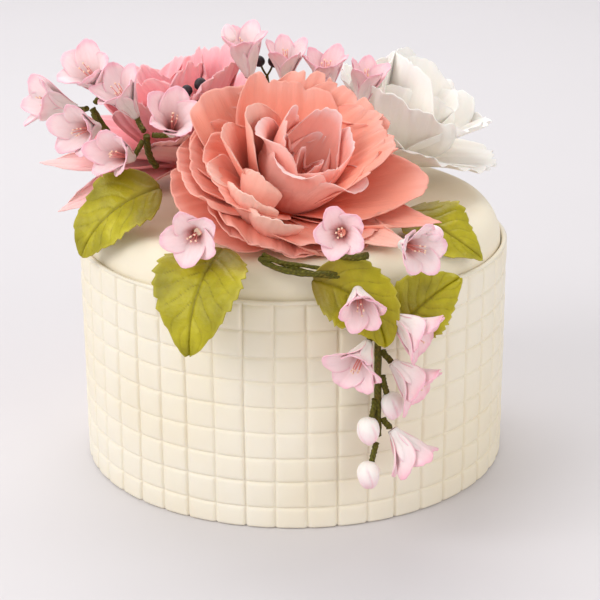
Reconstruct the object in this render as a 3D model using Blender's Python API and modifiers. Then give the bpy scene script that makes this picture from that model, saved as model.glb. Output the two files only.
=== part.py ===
# Round cake covered in fondant, wrapped in a band embossed with a square grid,
# and topped with an arrangement of sugar flowers, buds, leaves, stems and berries.
# Metres, +Z up, origin at the centre of the cake's flat base, front towards -Y.
import math

import bmesh
import bpy
import numpy as np
from mathutils.bvhtree import BVHTree

MM = 0.001

# ---- cake and band (mm) ----
BAND_RADIUS = 100.0
BAND_INNER_RADIUS = 97.0
BAND_HEIGHT = 105.0
BAND_LIP = 1.5
COLUMNS = 46
ROWS = 9
FIRST_ROW = 10.0
ROW_WANDER = 0.3
GRID_TURN = 0.35
GROOVE_DEPTH = 1.0
GROOVE_HALF_WIDTH = 0.9
BODY_RADIUS = 96.7
BODY_SHOULDER_Z = 112.0
BODY_TOP_EDGE_RADIUS = 86.0
BODY_TOP_Z = 121.5
BODY_STEPS = 46

# ---- sugar work (mm) ----
CLEARANCE = 0.4
PETAL_THICKNESS = 2.0
BLOSSOM_THICKNESS = 1.7
LEAF_THICKNESS = 1.7
WIRE_RADIUS = 1.5
FACE_RADIUS = 11.5
FACE_FLARE = 58.0

# Peonies. azimuth, distance: where the flower stands on the cake's top (0 front, 90 right);
# the two at the back stand as mirror images. lean: degrees off upright; towards: which way.
# Each whorl: petals, azimuth of the first, mean opening, how much wider the front petals open
# than the back ones, extra opening at the tip, length, width, distance from the axis.
BACK_AZIMUTH = 125
BACK_DISTANCE = 58
PEONIES = {
    'flower_coral': dict(azimuth=-10, distance=42, lean=25, towards=40, core=(13, 10), bud=(14.5, 44), whorls=[
        (6, 0, 66, 8, 10, 57, 48, 4),
        (5, 30, 46, 10, 10, 54, 40, 5),
        (3, -40, 34, 6, 8, 42, 28, 9),
    ]),
    'flower_pink': dict(azimuth=-BACK_AZIMUTH, distance=BACK_DISTANCE, lean=15, towards=-90, core=(12, 10.9), bud=None, whorls=[
        (6, 20, 60, 8, 16, 56, 44, 4),
        (4, 0, 36, 4, 12, 58, 46, 5),
        (3, 45, 16, 0, 8, 50, 34, 5),
    ]),
    'flower_white': dict(azimuth=BACK_AZIMUTH, distance=BACK_DISTANCE, lean=20, towards=90, core=(12, 10.9), bud=None, whorls=[
        (6, 10, 60, 4, 14, 50, 44, 4),
        (4, 30, 36, 4, 12, 52, 46, 5),
        (3, 0, 18, 0, 10, 46, 36, 5),
    ]),
}
PEONY_LIFT = 7.0
# neighbours part at a plane this far along the line between their feet
PARTING = [('flower_pink', 'flower_coral', 0.50), ('flower_white', 'flower_coral', 0.50), ('flower_white', 'flower_pink', 0.50)]

# Clusters: a branch leaves the flowers at its root (azimuth, distance, height) and runs to a fork
# (length, turn, rise). Its blossoms stand round the fork at even angles, on a ring that faces
# the look (turn, rise). spin: angle of the first, clockwise from the top; spread: the ring's
# radius; splay: how far each face turns outward; tube: its length; size: against FACE_RADIUS.
CLUSTERS = {
    'left_long': dict(root=(-90, 60, 125), reach=(50, -95, 50), count=3, spin=20, spread=10,
                      look=(-40, 25), splay=0.4, tube=20, size=1.0),
    'left_short': dict(root=(-90, 60, 125), reach=(35, -20, 60), count=3, spin=80, spread=12,
                       look=(-20, 40), splay=0.4, tube=20, size=1.0),
    'front_left': dict(root=(-20, 80, 130), reach=(20, -40, 10), count=1, spin=0, spread=0,
                       look=(-10, 5), splay=0.0, tube=14, size=1.1),
    'front': dict(root=(0, 90, 128), reach=(34, 60, 0), count=3, spin=75, spread=15,
                  look=(10, 0), splay=0.4, tube=14, size=1.0),
}
# a row of blossoms that stands behind the coral flower, evenly spaced from left to right
TOP_ROW = dict(count=4, left=(-20, 15, 175), right=(32, 15, 160), look=(0, 75), splay=10, tube=20, size=0.95)
# a chain that hangs in front of the band: blossoms and buds at an even pitch, on the side given
CHAIN = dict(root=(18, 110, 114), turn=18, rise=-88, first=17, pitch=10, aside=9, ahead=3, bud_drop=9,
             items=(('blossom', 1), ('blossom', -1), ('blossom', 1), ('bud', 1), ('bud', -1), ('blossom', 1), ('bud', -1)),
             look_turn=45, look_rise=-25, tube=16, size=1.05)
CHAIN_BUDS = ('bud_long', 'bud_round', 'bud_low')
# single buds beside the clusters: the blossom they keep company, then turn and rise away from its
# foot, the distance, and the size against BUD_RADIUS
COMPANY = {'bud_top': ('blossom_11', -90, 65, 22, 0.75), 'bud_right': ('blossom_8', 60, 25, 16, 0.7)}
BUD_RADIUS = 4.8
BUD_SLIM = 1.2

# wires: each branch shows from this share of its length; pedicels show for the blooms named
BRANCH_SHOWS = 0.45
BRANCH_SAG = 3.0
PEDICELS = ('blossom_1', 'blossom_2', 'blossom_3', 'blossom_4', 'blossom_5', 'blossom_6')
PEDICEL_RADIUS = 1.2
# the taped bundle that lies along the cake's top edge: first and last azimuth, distance, height, drop
BUNDLE = dict(name='stem_front', start=-8, stop=10, distance=104, z=123, drop=4, thick=1.35)

# Leaves: azimuth, distance and height of the base; turn of the midrib; its rise at the base and
# at the tip; length; width; roll of the blade about the midrib.
LEAVES = {
    'leaf_left': (-55, 70, 136, -80, 0, -75, 50, 34, -30),
    'leaf_front_left': (-18, 96, 126, -30, -20, -90, 50, 40, 0),
    'leaf_front': (3, 104, 115, 75, -20, -55, 42, 28, 50),
    'leaf_right': (45, 68, 128, 65, 0, -50, 42, 30, 25),
    'leaf_lower_right': (23, 108, 92, 115, 45, 20, 36, 26, 60),
}

# berries: clusters of balls on rings; centre (right, back, height), count, radius of a ball, spin
BERRY_CLUSTERS = (((-44, 6, 169), 4, 3.0, 20), ((-12, 25, 180), 2, 3.0, 90))
BERRY_GAP = 1.0


# ---------------------------------------------------------------- helpers
def unit(v):
    v = np.asarray(v, float)
    return v / np.linalg.norm(v)


def frame(axis, front=(0.0, -1.0, 0.0)):
    z = unit(axis)
    f = np.asarray(front, float)
    x = unit(f - z * (f @ z))
    return np.stack([x, np.cross(z, x), z], 1)


def heading(turn, rise):
    """Unit vector that looks turn degrees round from the front and rise degrees up."""
    t, r = math.radians(turn), math.radians(rise)
    return np.array([math.cos(r) * math.sin(t), -math.cos(r) * math.cos(t), math.sin(r)])


def round_cake(azimuth, distance, z):
    """A point by azimuth and distance from the cake's axis."""
    t = math.radians(azimuth)
    return np.array([distance * math.sin(t), -distance * math.cos(t), z])


def row_lines():
    """Heights of the band's level grooves: a short first row, then an even pitch with a slight wander."""
    pitch = (BAND_HEIGHT - BAND_LIP - FIRST_ROW) / (ROWS - 1)
    lines = [0.0, FIRST_ROW]
    for k in range(1, ROWS):
        lines.append(FIRST_ROW + k * pitch + ROW_WANDER * math.sin(1.7 * k) * (k < ROWS - 1))
    return lines


def whorl_rows(whorls):
    """Petal settings, ring by ring; the front of each ring opens wider than its back."""
    rows = []
    for count, first, opening, swing, tip, length, width, out in whorls:
        for k in range(count):
            phi = first + 360.0 * k / count
            front = math.cos(math.radians(phi))
            rows.append((phi, opening + swing * front, opening + swing * front + tip,
                         length - 3.0 * front, width, 50, 28, out, 1, 0.28))
    return rows


def peony_frame(spec):
    foot = round_cake(spec['azimuth'], spec['distance'], BODY_TOP_Z + PEONY_LIFT)
    return foot, heading(spec['towards'], 90 - spec['lean'])


def spine(t, length, a0, a1):
    n = 48
    s = np.linspace(0, 1, n + 1)
    ang = a0 + (a1 - a0) * s
    mid = (ang[1:] + ang[:-1]) / 2
    x = np.concatenate([[0], np.cumsum(np.sin(mid))]) * length / n
    z = np.concatenate([[0], np.cumsum(np.cos(mid))]) * length / n
    return np.interp(t, s, x), np.interp(t, s, z), np.interp(t, s, ang)


def petal_grid(row, nu, nv):
    phi, a0, a1, length, width, cup0, cup1, r0, z0, rnd = row
    u, v = np.meshgrid(np.linspace(0, 1, nu + 1), np.linspace(-1, 1, nv + 1), indexing='ij')
    t = u * (1 - rnd * np.abs(v) ** 2.6)
    h = 0.3 + 0.7 * np.sin(np.pi / 2 * np.clip(u / 0.85, 0, 1))
    w = width / 2 * h
    c = np.radians(cup0 + (cup1 - cup0) * t)
    y = w / c * np.sin(c * v)
    rise = w / c * (1 - np.cos(c * v))
    x, z, a = spine(t, length, math.radians(a0), math.radians(a1))
    p = np.stack([x - rise * np.cos(a) + r0, y, z + rise * np.sin(a) + z0], -1)
    cs, sn = math.cos(math.radians(phi)), math.sin(math.radians(phi))
    return p @ np.array([[cs, sn, 0], [-sn, cs, 0], [0, 0, 1]])


def grid_normals(p):
    n = np.cross(np.gradient(p, axis=0), np.gradient(p, axis=1))
    length = np.linalg.norm(n, axis=-1, keepdims=True)
    length[length < 1e-9] = 1
    return n / length


def shell(p, thick):
    nu, nv = p.shape[0] - 1, p.shape[1] - 1
    n = grid_normals(p)
    a, b = p + n * thick / 2, p - n * thick / 2
    m = (nu + 1) * (nv + 1)
    verts = np.concatenate([a.reshape(-1, 3), b.reshape(-1, 3)])
    idx = np.arange(m).reshape(nu + 1, nv + 1)
    faces = []
    for i in range(nu):
        for j in range(nv):
            q = [int(k) for k in (idx[i, j], idx[i + 1, j], idx[i + 1, j + 1], idx[i, j + 1])]
            faces.append(q)
            faces.append([k + m for k in reversed(q)])
    loop = ([idx[0, j] for j in range(nv)] + [idx[i, nv] for i in range(nu)]
            + [idx[nu, j] for j in range(nv, 0, -1)] + [idx[i, 0] for i in range(nu, 0, -1)])
    for k, q in enumerate(loop):
        q, r = int(q), int(loop[(k + 1) % len(loop)])
        faces.append([q, r, r + m, q + m])
    return verts, faces


def material(name, colour, rough=0.6):
    mat = bpy.data.materials.new(name)
    mat.use_nodes = True
    bsdf = mat.node_tree.nodes['Principled BSDF']
    bsdf.inputs['Base Color'].default_value = (*colour, 1)
    bsdf.inputs['Roughness'].default_value = rough
    return mat


def add_mesh(name, verts, faces, coll, mat, smooth=False):
    me = bpy.data.meshes.new(name)
    me.from_pydata([tuple(float(c) * MM for c in v) for v in verts], [], faces)
    bm = bmesh.new()
    bm.from_mesh(me)
    bmesh.ops.recalc_face_normals(bm, faces=bm.faces)
    bmesh.ops.triangulate(bm, faces=[f for f in bm.faces if len(f.verts) > 3])
    if bm.calc_volume(signed=True) < 0:
        bmesh.ops.reverse_faces(bm, faces=bm.faces)
    bm.to_mesh(me)
    bm.free()
    ob = bpy.data.objects.new(name, me)
    coll.objects.link(ob)
    if mat:
        me.materials.append(mat)
    for poly in me.polygons:
        poly.use_smooth = smooth
    return ob


def apply_modifiers(ob):
    bpy.context.view_layer.update()
    dg = bpy.context.evaluated_depsgraph_get()
    me = bpy.data.meshes.new_from_object(ob.evaluated_get(dg))
    ob.modifiers.clear()
    ob.data = me


def is_closed(me):
    bm = bmesh.new()
    bm.from_mesh(me)
    good = len(bm.faces) > 3 and all(len(e.link_faces) == 2 for e in bm.edges)
    bm.free()
    return good


def boolean(ob, other, kind):
    """EXACT, and MANIFOLD where EXACT leaves the mesh open."""
    before = ob.data
    for solver in ('EXACT', 'MANIFOLD'):
        ob.data = before.copy()
        mod = ob.modifiers.new(kind.lower(), 'BOOLEAN')
        mod.object = other
        mod.operation = kind
        mod.solver = solver
        apply_modifiers(ob)
        if is_closed(ob.data):
            return
    ob.data = before


def largest_body(bm):
    bm.verts.ensure_lookup_table()
    seen, best = set(), []
    for seed in bm.verts:
        if seed in seen:
            continue
        seen.add(seed)
        stack, group = [seed], [seed]
        while stack:
            for e in stack.pop().link_edges:
                for w in e.verts:
                    if w not in seen:
                        seen.add(w)
                        stack.append(w)
                        group.append(w)
        if len(group) > len(best):
            best = group
    keep = set(best)
    bmesh.ops.delete(bm, geom=[v for v in bm.verts if v not in keep], context='VERTS')


def tidy(ob):
    """Merges coincident points as far as the mesh stays closed, and keeps the largest body."""
    for dist in (0.00002, 0.000004, 0.0):
        bm = bmesh.new()
        bm.from_mesh(ob.data)
        if dist:
            bmesh.ops.remove_doubles(bm, verts=bm.verts, dist=dist)
            bmesh.ops.dissolve_degenerate(bm, edges=bm.edges, dist=dist / 2)
        largest_body(bm)
        bmesh.ops.triangulate(bm, faces=[f for f in bm.faces if len(f.verts) > 3])
        bmesh.ops.recalc_face_normals(bm, faces=bm.faces)
        me = ob.data.copy()
        bm.to_mesh(me)
        bm.free()
        if is_closed(me):
            ob.data = me
            return


# ---------------------------------------------------------------- parts
def make_body(name, coll, mat, grow=0.0):
    """Turned cake: flat base, upright side, rounded shoulder and nearly flat top."""
    shoulder = []
    for k in range(5):
        a = math.radians(90 * k / 4)
        shoulder.append((BODY_TOP_EDGE_RADIUS + (BODY_RADIUS + grow - BODY_TOP_EDGE_RADIUS) * math.sin(a),
                         BODY_SHOULDER_Z + (BODY_TOP_Z - 0.4 + grow - BODY_SHOULDER_Z) * math.cos(a)))
    profile = [(0.0, BODY_TOP_Z + grow), (45.0, BODY_TOP_Z - 0.1 + grow)] + shoulder + [(BODY_RADIUS + grow, 0.0), (0.0, 0.0)]
    start = GRID_TURN * 2 * math.pi / COLUMNS - math.pi / 2
    c0, s0 = math.cos(start), math.sin(start)
    me = bpy.data.meshes.new(name)
    me.from_pydata([(r * MM * c0, r * MM * s0, z * MM) for r, z in profile], [(i, i + 1) for i in range(len(profile) - 1)], [])
    ob = bpy.data.objects.new(name, me)
    coll.objects.link(ob)
    mod = ob.modifiers.new('turn', 'SCREW')
    mod.axis = 'Z'
    mod.angle = 2 * math.pi
    mod.steps = mod.render_steps = BODY_STEPS
    mod.use_merge_vertices = True
    mod.merge_threshold = 0.00001
    apply_modifiers(ob)
    bm = bmesh.new()
    bm.from_mesh(ob.data)
    bmesh.ops.remove_doubles(bm, verts=bm.verts, dist=0.00001)
    bmesh.ops.recalc_face_normals(bm, faces=bm.faces)
    bmesh.ops.triangulate(bm, faces=[f for f in bm.faces if len(f.verts) > 4])
    bm.to_mesh(ob.data)
    bm.free()
    if mat:
        ob.data.materials.append(mat)
    for poly in ob.data.polygons:
        poly.use_smooth = True
    return ob


def make_band(coll, mat):
    """Ring whose outside carries a grid of raised square pads parted by V grooves."""
    n, rows, lines = COLUMNS, ROWS, row_lines()
    turn0 = GRID_TURN * 2 * math.pi / COLUMNS
    verts, faces = [], []

    def pt(theta, r, z):
        verts.append((r * math.sin(theta), -r * math.cos(theta), z))
        return len(verts) - 1

    step = 2 * math.pi / n
    dth = GROOVE_HALF_WIDTH / BAND_RADIUS
    rg = BAND_RADIUS - GROOVE_DEPTH
    groove = [[pt(turn0 + i * step, rg, z) for z in lines] for i in range(n)]
    top_out = [pt(turn0 + i * step, BAND_RADIUS - 0.2, BAND_HEIGHT) for i in range(n)]
    top_in = [pt(turn0 + i * step, BAND_INNER_RADIUS, BAND_HEIGHT) for i in range(n)]
    low_in = [pt(turn0 + i * step, BAND_INNER_RADIUS, 0.0) for i in range(n)]
    for i in range(n):
        k = (i + 1) % n
        t0, t1 = turn0 + i * step + dth, turn0 + (i + 1) * step - dth
        for j in range(rows):
            z0, z1 = lines[j] + GROOVE_HALF_WIDTH * 0.7, lines[j + 1] - GROOVE_HALF_WIDTH * 0.7
            a, b, c, d = pt(t0, BAND_RADIUS, z0), pt(t1, BAND_RADIUS, z0), pt(t1, BAND_RADIUS, z1), pt(t0, BAND_RADIUS, z1)
            ga, gb, gc, gd = groove[i][j], groove[k][j], groove[k][j + 1], groove[i][j + 1]
            faces += [[a, b, c, d], [ga, gb, b, a], [gb, gc, c, b], [gc, gd, d, c], [gd, ga, a, d]]
        faces.append([groove[i][rows], groove[k][rows], top_out[k], top_out[i]])
        faces.append([top_out[i], top_out[k], top_in[k], top_in[i]])
        faces.append([top_in[i], top_in[k], low_in[k], low_in[i]])
        faces.append([low_in[i], low_in[k], groove[k][0], groove[i][0]])
    return add_mesh('grid_band', verts, faces, coll, mat)


def make_peony(name, spec, coll, cutters, mat):
    """Sugar flower whose whorls of petals stand on a common core."""
    o, axis = peony_frame(spec)
    m = frame(axis)
    rad, half = spec['core']
    bm = bmesh.new()
    bmesh.ops.create_icosphere(bm, subdivisions=1, radius=1.0)
    me = bpy.data.meshes.new(name)
    for v in bm.verts:
        p = o + m @ np.array([v.co.x * rad, v.co.y * rad, v.co.z * half + 4.0])
        v.co = [float(c) * MM for c in p]
    bm.to_mesh(me)
    bm.free()
    me.materials.append(mat)
    ob = bpy.data.objects.new(name, me)
    coll.objects.link(ob)
    solids = [shell(petal_grid(row, 2, 2) @ m.T + o, PETAL_THICKNESS) for row in whorl_rows(spec['whorls'])]
    if spec['bud']:
        solids.append(make_bud_shell(o, m, dict(radius=spec['bud'][0], height=spec['bud'][1])))
    for k, (verts, faces) in enumerate(solids):
        boolean(ob, guide(add_mesh(f'{name}_cutter_{k}', verts, faces, cutters, None)), 'UNION')
    return ob


def guide(ob):
    ob.hide_render = True
    ob.display_type = 'WIRE'
    return ob


def part_from(ob, foot, neighbour, share, cutters):
    """Trims a flower at the upright plane where it presses against its neighbour."""
    away = unit([foot[0] - neighbour[0], foot[1] - neighbour[1], 0.0])
    mid = neighbour + (foot - neighbour) * share
    half = 150.0
    bm = bmesh.new()
    bmesh.ops.create_cube(bm, size=2 * half * MM)
    side = np.array([-away[1], away[0], 0.0])
    centre = mid - away * (half - CLEARANCE / 2)
    for v in bm.verts:
        q = np.array(v.co[:])
        v.co = [float(c) for c in (away * q[0] + side * q[1] + np.array([0, 0, q[2]]) + centre * MM)]
    me = bpy.data.meshes.new(ob.name + '_parting')
    bmesh.ops.recalc_face_normals(bm, faces=bm.faces)
    bm.to_mesh(me)
    bm.free()
    cutter = bpy.data.objects.new(ob.name + '_parting', me)
    cutters.objects.link(cutter)
    boolean(ob, guide(cutter), 'DIFFERENCE')
    tidy(ob)


def box_of(ob):
    co = np.array([v.co[:] for v in ob.data.vertices])
    return co.min(0), co.max(0)


def touches(a, b):
    bm_a, bm_b = bmesh.new(), bmesh.new()
    bm_a.from_mesh(a.data)
    bm_b.from_mesh(b.data)
    hit = bool(BVHTree.FromBMesh(bm_a).overlap(BVHTree.FromBMesh(bm_b)))
    bm_a.free()
    bm_b.free()
    return hit


def make_room(ob, others, cutters):
    """Cuts a soft piece back to clear the pieces that press into it."""
    for other in others:
        (al, ah), (bl, bh) = box_of(ob), box_of(other)
        pad = 2 * CLEARANCE * MM
        if (al > bh + pad).any() or (bl > ah + pad).any():
            continue
        bm = bmesh.new()
        bm.from_mesh(other.data)
        hull = bmesh.ops.convex_hull(bm, input=bm.verts)
        keep = {g for g in hull['geom'] if isinstance(g, bmesh.types.BMFace)}
        bmesh.ops.delete(bm, geom=[f for f in bm.faces if f not in keep], context='FACES')
        bmesh.ops.delete(bm, geom=[v for v in bm.verts if not v.link_faces], context='VERTS')
        bmesh.ops.recalc_face_normals(bm, faces=bm.faces)
        bm.normal_update()
        for v in bm.verts:
            v.co += v.normal * (1.6 * CLEARANCE * MM)
        me = bpy.data.meshes.new(other.name + '_room')
        bm.to_mesh(me)
        bm.free()
        cutter = bpy.data.objects.new(other.name + '_room', me)
        cutters.objects.link(cutter)
        guide(cutter)
        if touches(ob, cutter):
            boolean(ob, cutter, 'DIFFERENCE')
            tidy(ob)


def make_bud_shell(o, m, bud):
    """Cup of closed inner petals with a hollow mouth."""
    n = 10
    prof = [(0.30, 0.0), (0.92, 0.30), (1.0, 0.60), (0.84, 0.94), (0.62, 0.90), (0.60, 0.62)]
    verts, faces = [], []
    for r, z in prof:
        for i in range(n):
            t = 2 * math.pi * i / n
            k = 1.0 + (0.07 * math.cos(2.5 * t + 0.6) if z > 0.1 else 0.0)
            dz = 0.06 * math.sin(2 * t + 0.4) if z > 0.85 else 0.0
            verts.append(o + m @ np.array([bud['radius'] * r * k * math.cos(t), bud['radius'] * r * k * math.sin(t), bud['height'] * (z + dz)]))
    for j in range(len(prof) - 1):
        for i in range(n):
            k = (i + 1) % n
            faces.append([j * n + i, j * n + k, (j + 1) * n + k, (j + 1) * n + i])
    verts.append(o)
    verts.append(o + m @ np.array([0, 0, bud['height'] * 0.60]))
    a, b = len(verts) - 2, len(verts) - 1
    top = (len(prof) - 1) * n
    for i in range(n):
        k = (i + 1) % n
        faces.append([a, k, i])
        faces.append([b, top + i, top + k])
    return np.array(verts), faces


def make_blossom(name, base, mouth, radius, flare, roll, coll, mat):
    """Trumpet blossom: narrow tube opening to five rounded lobes."""
    base, mouth = np.array(base, float), np.array(mouth, float)
    tube = float(np.linalg.norm(mouth - base))
    m = frame(mouth - base)
    n = 10
    th = BLOSSOM_THICKNESS
    lobe = [1.0, 0.66]
    fl = math.radians(flare)
    neck = 0.26 * radius + 1.0
    stations = [('o', 1.5, 0.0), ('o', neck, 0.62 * tube), ('rim', 0, 0), ('i', neck + 0.4 - th, 0.70 * tube)]
    verts, faces = [], []
    for kind, r, z in stations:
        for i in range(n):
            t = 2 * math.pi * i / n + math.radians(roll)
            if kind == 'rim':
                q = lobe[i % 2]
                rr = neck + (radius - neck) * q
                zz = 0.62 * tube + 0.38 * tube + (rr - neck) * math.cos(fl) / max(math.sin(fl), 0.3) * 0.45
            else:
                rr, zz = r, z
            verts.append(base + m @ np.array([rr * math.cos(t), rr * math.sin(t), zz]))
    for j in range(len(stations) - 1):
        for i in range(n):
            k = (i + 1) % n
            faces.append([j * n + i, j * n + k, (j + 1) * n + k, (j + 1) * n + i])
    verts.append(base)
    verts.append(base + m @ np.array([0, 0, 0.5 * tube]))
    a, b = len(verts) - 2, len(verts) - 1
    top = (len(stations) - 1) * n
    for i in range(n):
        k = (i + 1) % n
        faces.append([a, k, i])
        faces.append([b, top + i, top + k])
    return add_mesh(name, verts, faces, coll, mat)


def ring(look):
    """Right and up of a ring that faces the look."""
    right = unit(np.cross([0.0, 0.0, 1.0], look))
    return right, np.cross(look, right)


def place_clusters():
    """Blossoms at even angles round the fork of each branch."""
    blooms, branches, number = [], [], 0
    for name, c in CLUSTERS.items():
        root = round_cake(*c['root'])
        length, turn, rise = c['reach']
        fork = root + length * heading(turn, rise)
        look = heading(*c['look'])
        right, up = ring(look)
        branches.append((name, root, fork, look))
        for k in range(c['count']):
            number += 1
            a = math.radians(c['spin'] + 360.0 * k / c['count'])
            out = right * math.sin(a) + up * math.cos(a) if c['count'] > 1 else look * 0
            face = unit(look + c['splay'] * out)
            foot = fork + c['spread'] * out
            size = c['size'] * (1.0 - 0.05 * (k % 2))
            blooms.append((f'blossom_{number}', foot, face, c['tube'], size, name))
    return blooms, branches


def place_row(number):
    """Blossoms evenly spaced along a line."""
    r, blooms = TOP_ROW, []
    for k in range(r['count']):
        t = k / (r['count'] - 1)
        foot = np.array(r['left'], float) * (1 - t) + np.array(r['right'], float) * t
        face = heading(r['look'][0] + r['splay'] * (2 * k - r['count'] + 1), r['look'][1])
        blooms.append((f'blossom_{number + k + 1}', foot, face, r['tube'], r['size'] * (1.0 - 0.1 * (k % 2)), 'top'))
    return blooms


def place_chain(number):
    """Blossoms and buds down a hanging wire, at an even pitch."""
    c = CHAIN
    root, down = round_cake(*c['root']), heading(c['turn'], c['rise'])
    ahead = heading(c['turn'], 0)
    across = heading(c['turn'] + 90, 0)
    blooms, buds, joints = [], [], []
    for k, (kind, side) in enumerate(c['items']):
        joint = root + down * (c['first'] + c['pitch'] * (k - 1))
        foot = joint + down * c['pitch'] * 0.6 + across * (side * c['aside'] * 0.6) + ahead * c['ahead']
        face = heading(c['turn'] + side * c['look_turn'], c['look_rise'] - 5 * k)
        if kind == 'blossom':
            number += 1
            name = f'blossom_{number}'
            blooms.append((name, foot, face, c['tube'], c['size'] * (1.0 - 0.05 * (k % 2)), 'chain'))
        else:
            name = CHAIN_BUDS[len(buds)]
            foot = foot + down * c['bud_drop']
            buds.append((name, foot, heading(c['turn'], -80), 1.0))
        joints.append((name, joint, foot))
    last = root + down * (c['first'] + c['pitch'] * (len(c['items']) - 2))
    return blooms, buds, joints, root, last


def place_berries():
    """Balls just clear of one another round small rings."""
    balls = []
    for centre, count, radius, spin in BERRY_CLUSTERS:
        out = (radius + BERRY_GAP / 2) / math.sin(math.pi / count)
        for k in range(count):
            a = math.radians(spin + 360.0 * k / count)
            balls.append((np.array(centre, float) + out * np.array([math.sin(a), 0.35 * math.cos(a), 0.9 * math.cos(a)]),
                          radius * (1.0 - 0.12 * (k % 2))))
    return balls


def midrib(azimuth, distance, height, turn, rise0, rise1, length, steps):
    """A leaf's midrib: from its base it bends evenly from one rise to the other."""
    pts = [round_cake(azimuth, distance, height)]
    for k in range(steps):
        pts.append(pts[-1] + heading(turn, rise0 + (rise1 - rise0) * (k + 0.5) / steps) * length / steps)
    return np.array(pts)


def leaf_grid(spec, nu, nv):
    """Ovate leaf with a toothed edge, folded a little along its midrib."""
    azimuth, distance, height, turn, rise0, rise1, length, width, roll = spec
    s = midrib(azimuth, distance, height, turn, rise0, rise1, length, nu)
    u = np.linspace(0, 1, nu + 1)[:, None]
    v = np.linspace(-1, 1, nv + 1)[None, :]
    level = heading(turn + 90, 0)
    side, nrm = [], []
    for k in range(nu + 1):
        over = heading(turn, rise0 + (rise1 - rise0) * k / nu + 90)
        c, q = math.cos(math.radians(roll)), math.sin(math.radians(roll))
        side.append(level * c + over * q)
        nrm.append(over * c - level * q)
    side, nrm = np.array(side), np.array(nrm)
    w = width / 2 * (0.10 + 0.96 * np.sin(np.pi * np.clip(u, 0, 1) ** 0.75) ** 0.8 * (1 - 0.15 * u))
    tooth = 1 + 0.10 * np.where(np.arange(nu + 1) % 2 == 0, 1, -1)[:, None] * (np.abs(v) > 0.9) * (u > 0.1) * (u < 0.95)
    y = w * v * tooth
    lift = 0.12 * np.abs(y)
    return s[:, None, :] + side[:, None, :] * y[..., None] + nrm[:, None, :] * lift[..., None]


def make_stem(name, pts, radius, coll, mat):
    cu = bpy.data.curves.new(name, 'CURVE')
    cu.dimensions = '3D'
    cu.bevel_depth = radius * MM
    cu.bevel_resolution = 1
    cu.use_fill_caps = True
    sp = cu.splines.new('POLY')
    sp.points.add(len(pts) - 1)
    for p, q in zip(sp.points, pts):
        p.co = (q[0] * MM, q[1] * MM, q[2] * MM, 1)
    tmp = bpy.data.objects.new(name + '_curve', cu)
    coll.objects.link(tmp)
    bpy.context.view_layer.update()
    me = bpy.data.meshes.new_from_object(tmp.evaluated_get(bpy.context.evaluated_depsgraph_get()))
    bpy.data.objects.remove(tmp)
    bm = bmesh.new()
    bm.from_mesh(me)
    bmesh.ops.remove_doubles(bm, verts=bm.verts, dist=0.00001)
    bmesh.ops.recalc_face_normals(bm, faces=bm.faces)
    bmesh.ops.triangulate(bm, faces=[f for f in bm.faces if len(f.verts) > 4])
    bm.to_mesh(me)
    bm.free()
    me.materials.clear()
    me.materials.append(mat)
    me.name = name
    ob = bpy.data.objects.new(name, me)
    coll.objects.link(ob)
    return ob


def make_bud(name, centre, radius, half, tip, coll, mat):
    """Closed bud of overlapping lobes, drawn to a soft point."""
    m = frame(tip)
    c = np.array(centre, float)
    n = 8
    prof = [(0.62, -0.75), (1.0, -0.1), (0.90, 0.45), (0.48, 0.86)]
    verts, faces = [], []
    for r, z in prof:
        for i in range(n):
            t = 2 * math.pi * i / n + 0.35 * z
            k = 1.0 + 0.05 * math.cos(3 * t)
            verts.append(c + m @ np.array([radius * r * k * math.cos(t), radius * r * k * math.sin(t), half * z]))
    for j in range(len(prof) - 1):
        for i in range(n):
            k = (i + 1) % n
            faces.append([j * n + i, j * n + k, (j + 1) * n + k, (j + 1) * n + i])
    verts.append(c + m @ np.array([0, 0, -half]))
    verts.append(c + m @ np.array([0, 0, half * 1.06]))
    a, b = len(verts) - 2, len(verts) - 1
    top = (len(prof) - 1) * n
    for i in range(n):
        k = (i + 1) % n
        faces.append([a, k, i])
        faces.append([b, top + i, top + k])
    return add_mesh(name, verts, faces, coll, mat, smooth=True)


def make_berry(name, centre, radius, coll, mat):
    bm = bmesh.new()
    bmesh.ops.create_uvsphere(bm, u_segments=8, v_segments=4, radius=radius * MM)
    for v in bm.verts:
        v.co.x += centre[0] * MM
        v.co.y += centre[1] * MM
        v.co.z += centre[2] * MM
    me = bpy.data.meshes.new(name)
    bm.to_mesh(me)
    bm.free()
    me.materials.append(mat)
    for poly in me.polygons:
        poly.use_smooth = True
    ob = bpy.data.objects.new(name, me)
    coll.objects.link(ob)
    return ob


def wire_points(a, b, sag, n=3):
    """A wire that bows down and out a little between its ends."""
    out = unit([(a[0] + b[0]) / 2, (a[1] + b[1]) / 2, 0.0])
    pts = []
    for k in range(n + 1):
        t = k / n
        pts.append(a + (b - a) * t + (out * 0.4 - np.array([0, 0, 0.6])) * sag * math.sin(math.pi * t))
    return pts


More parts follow.
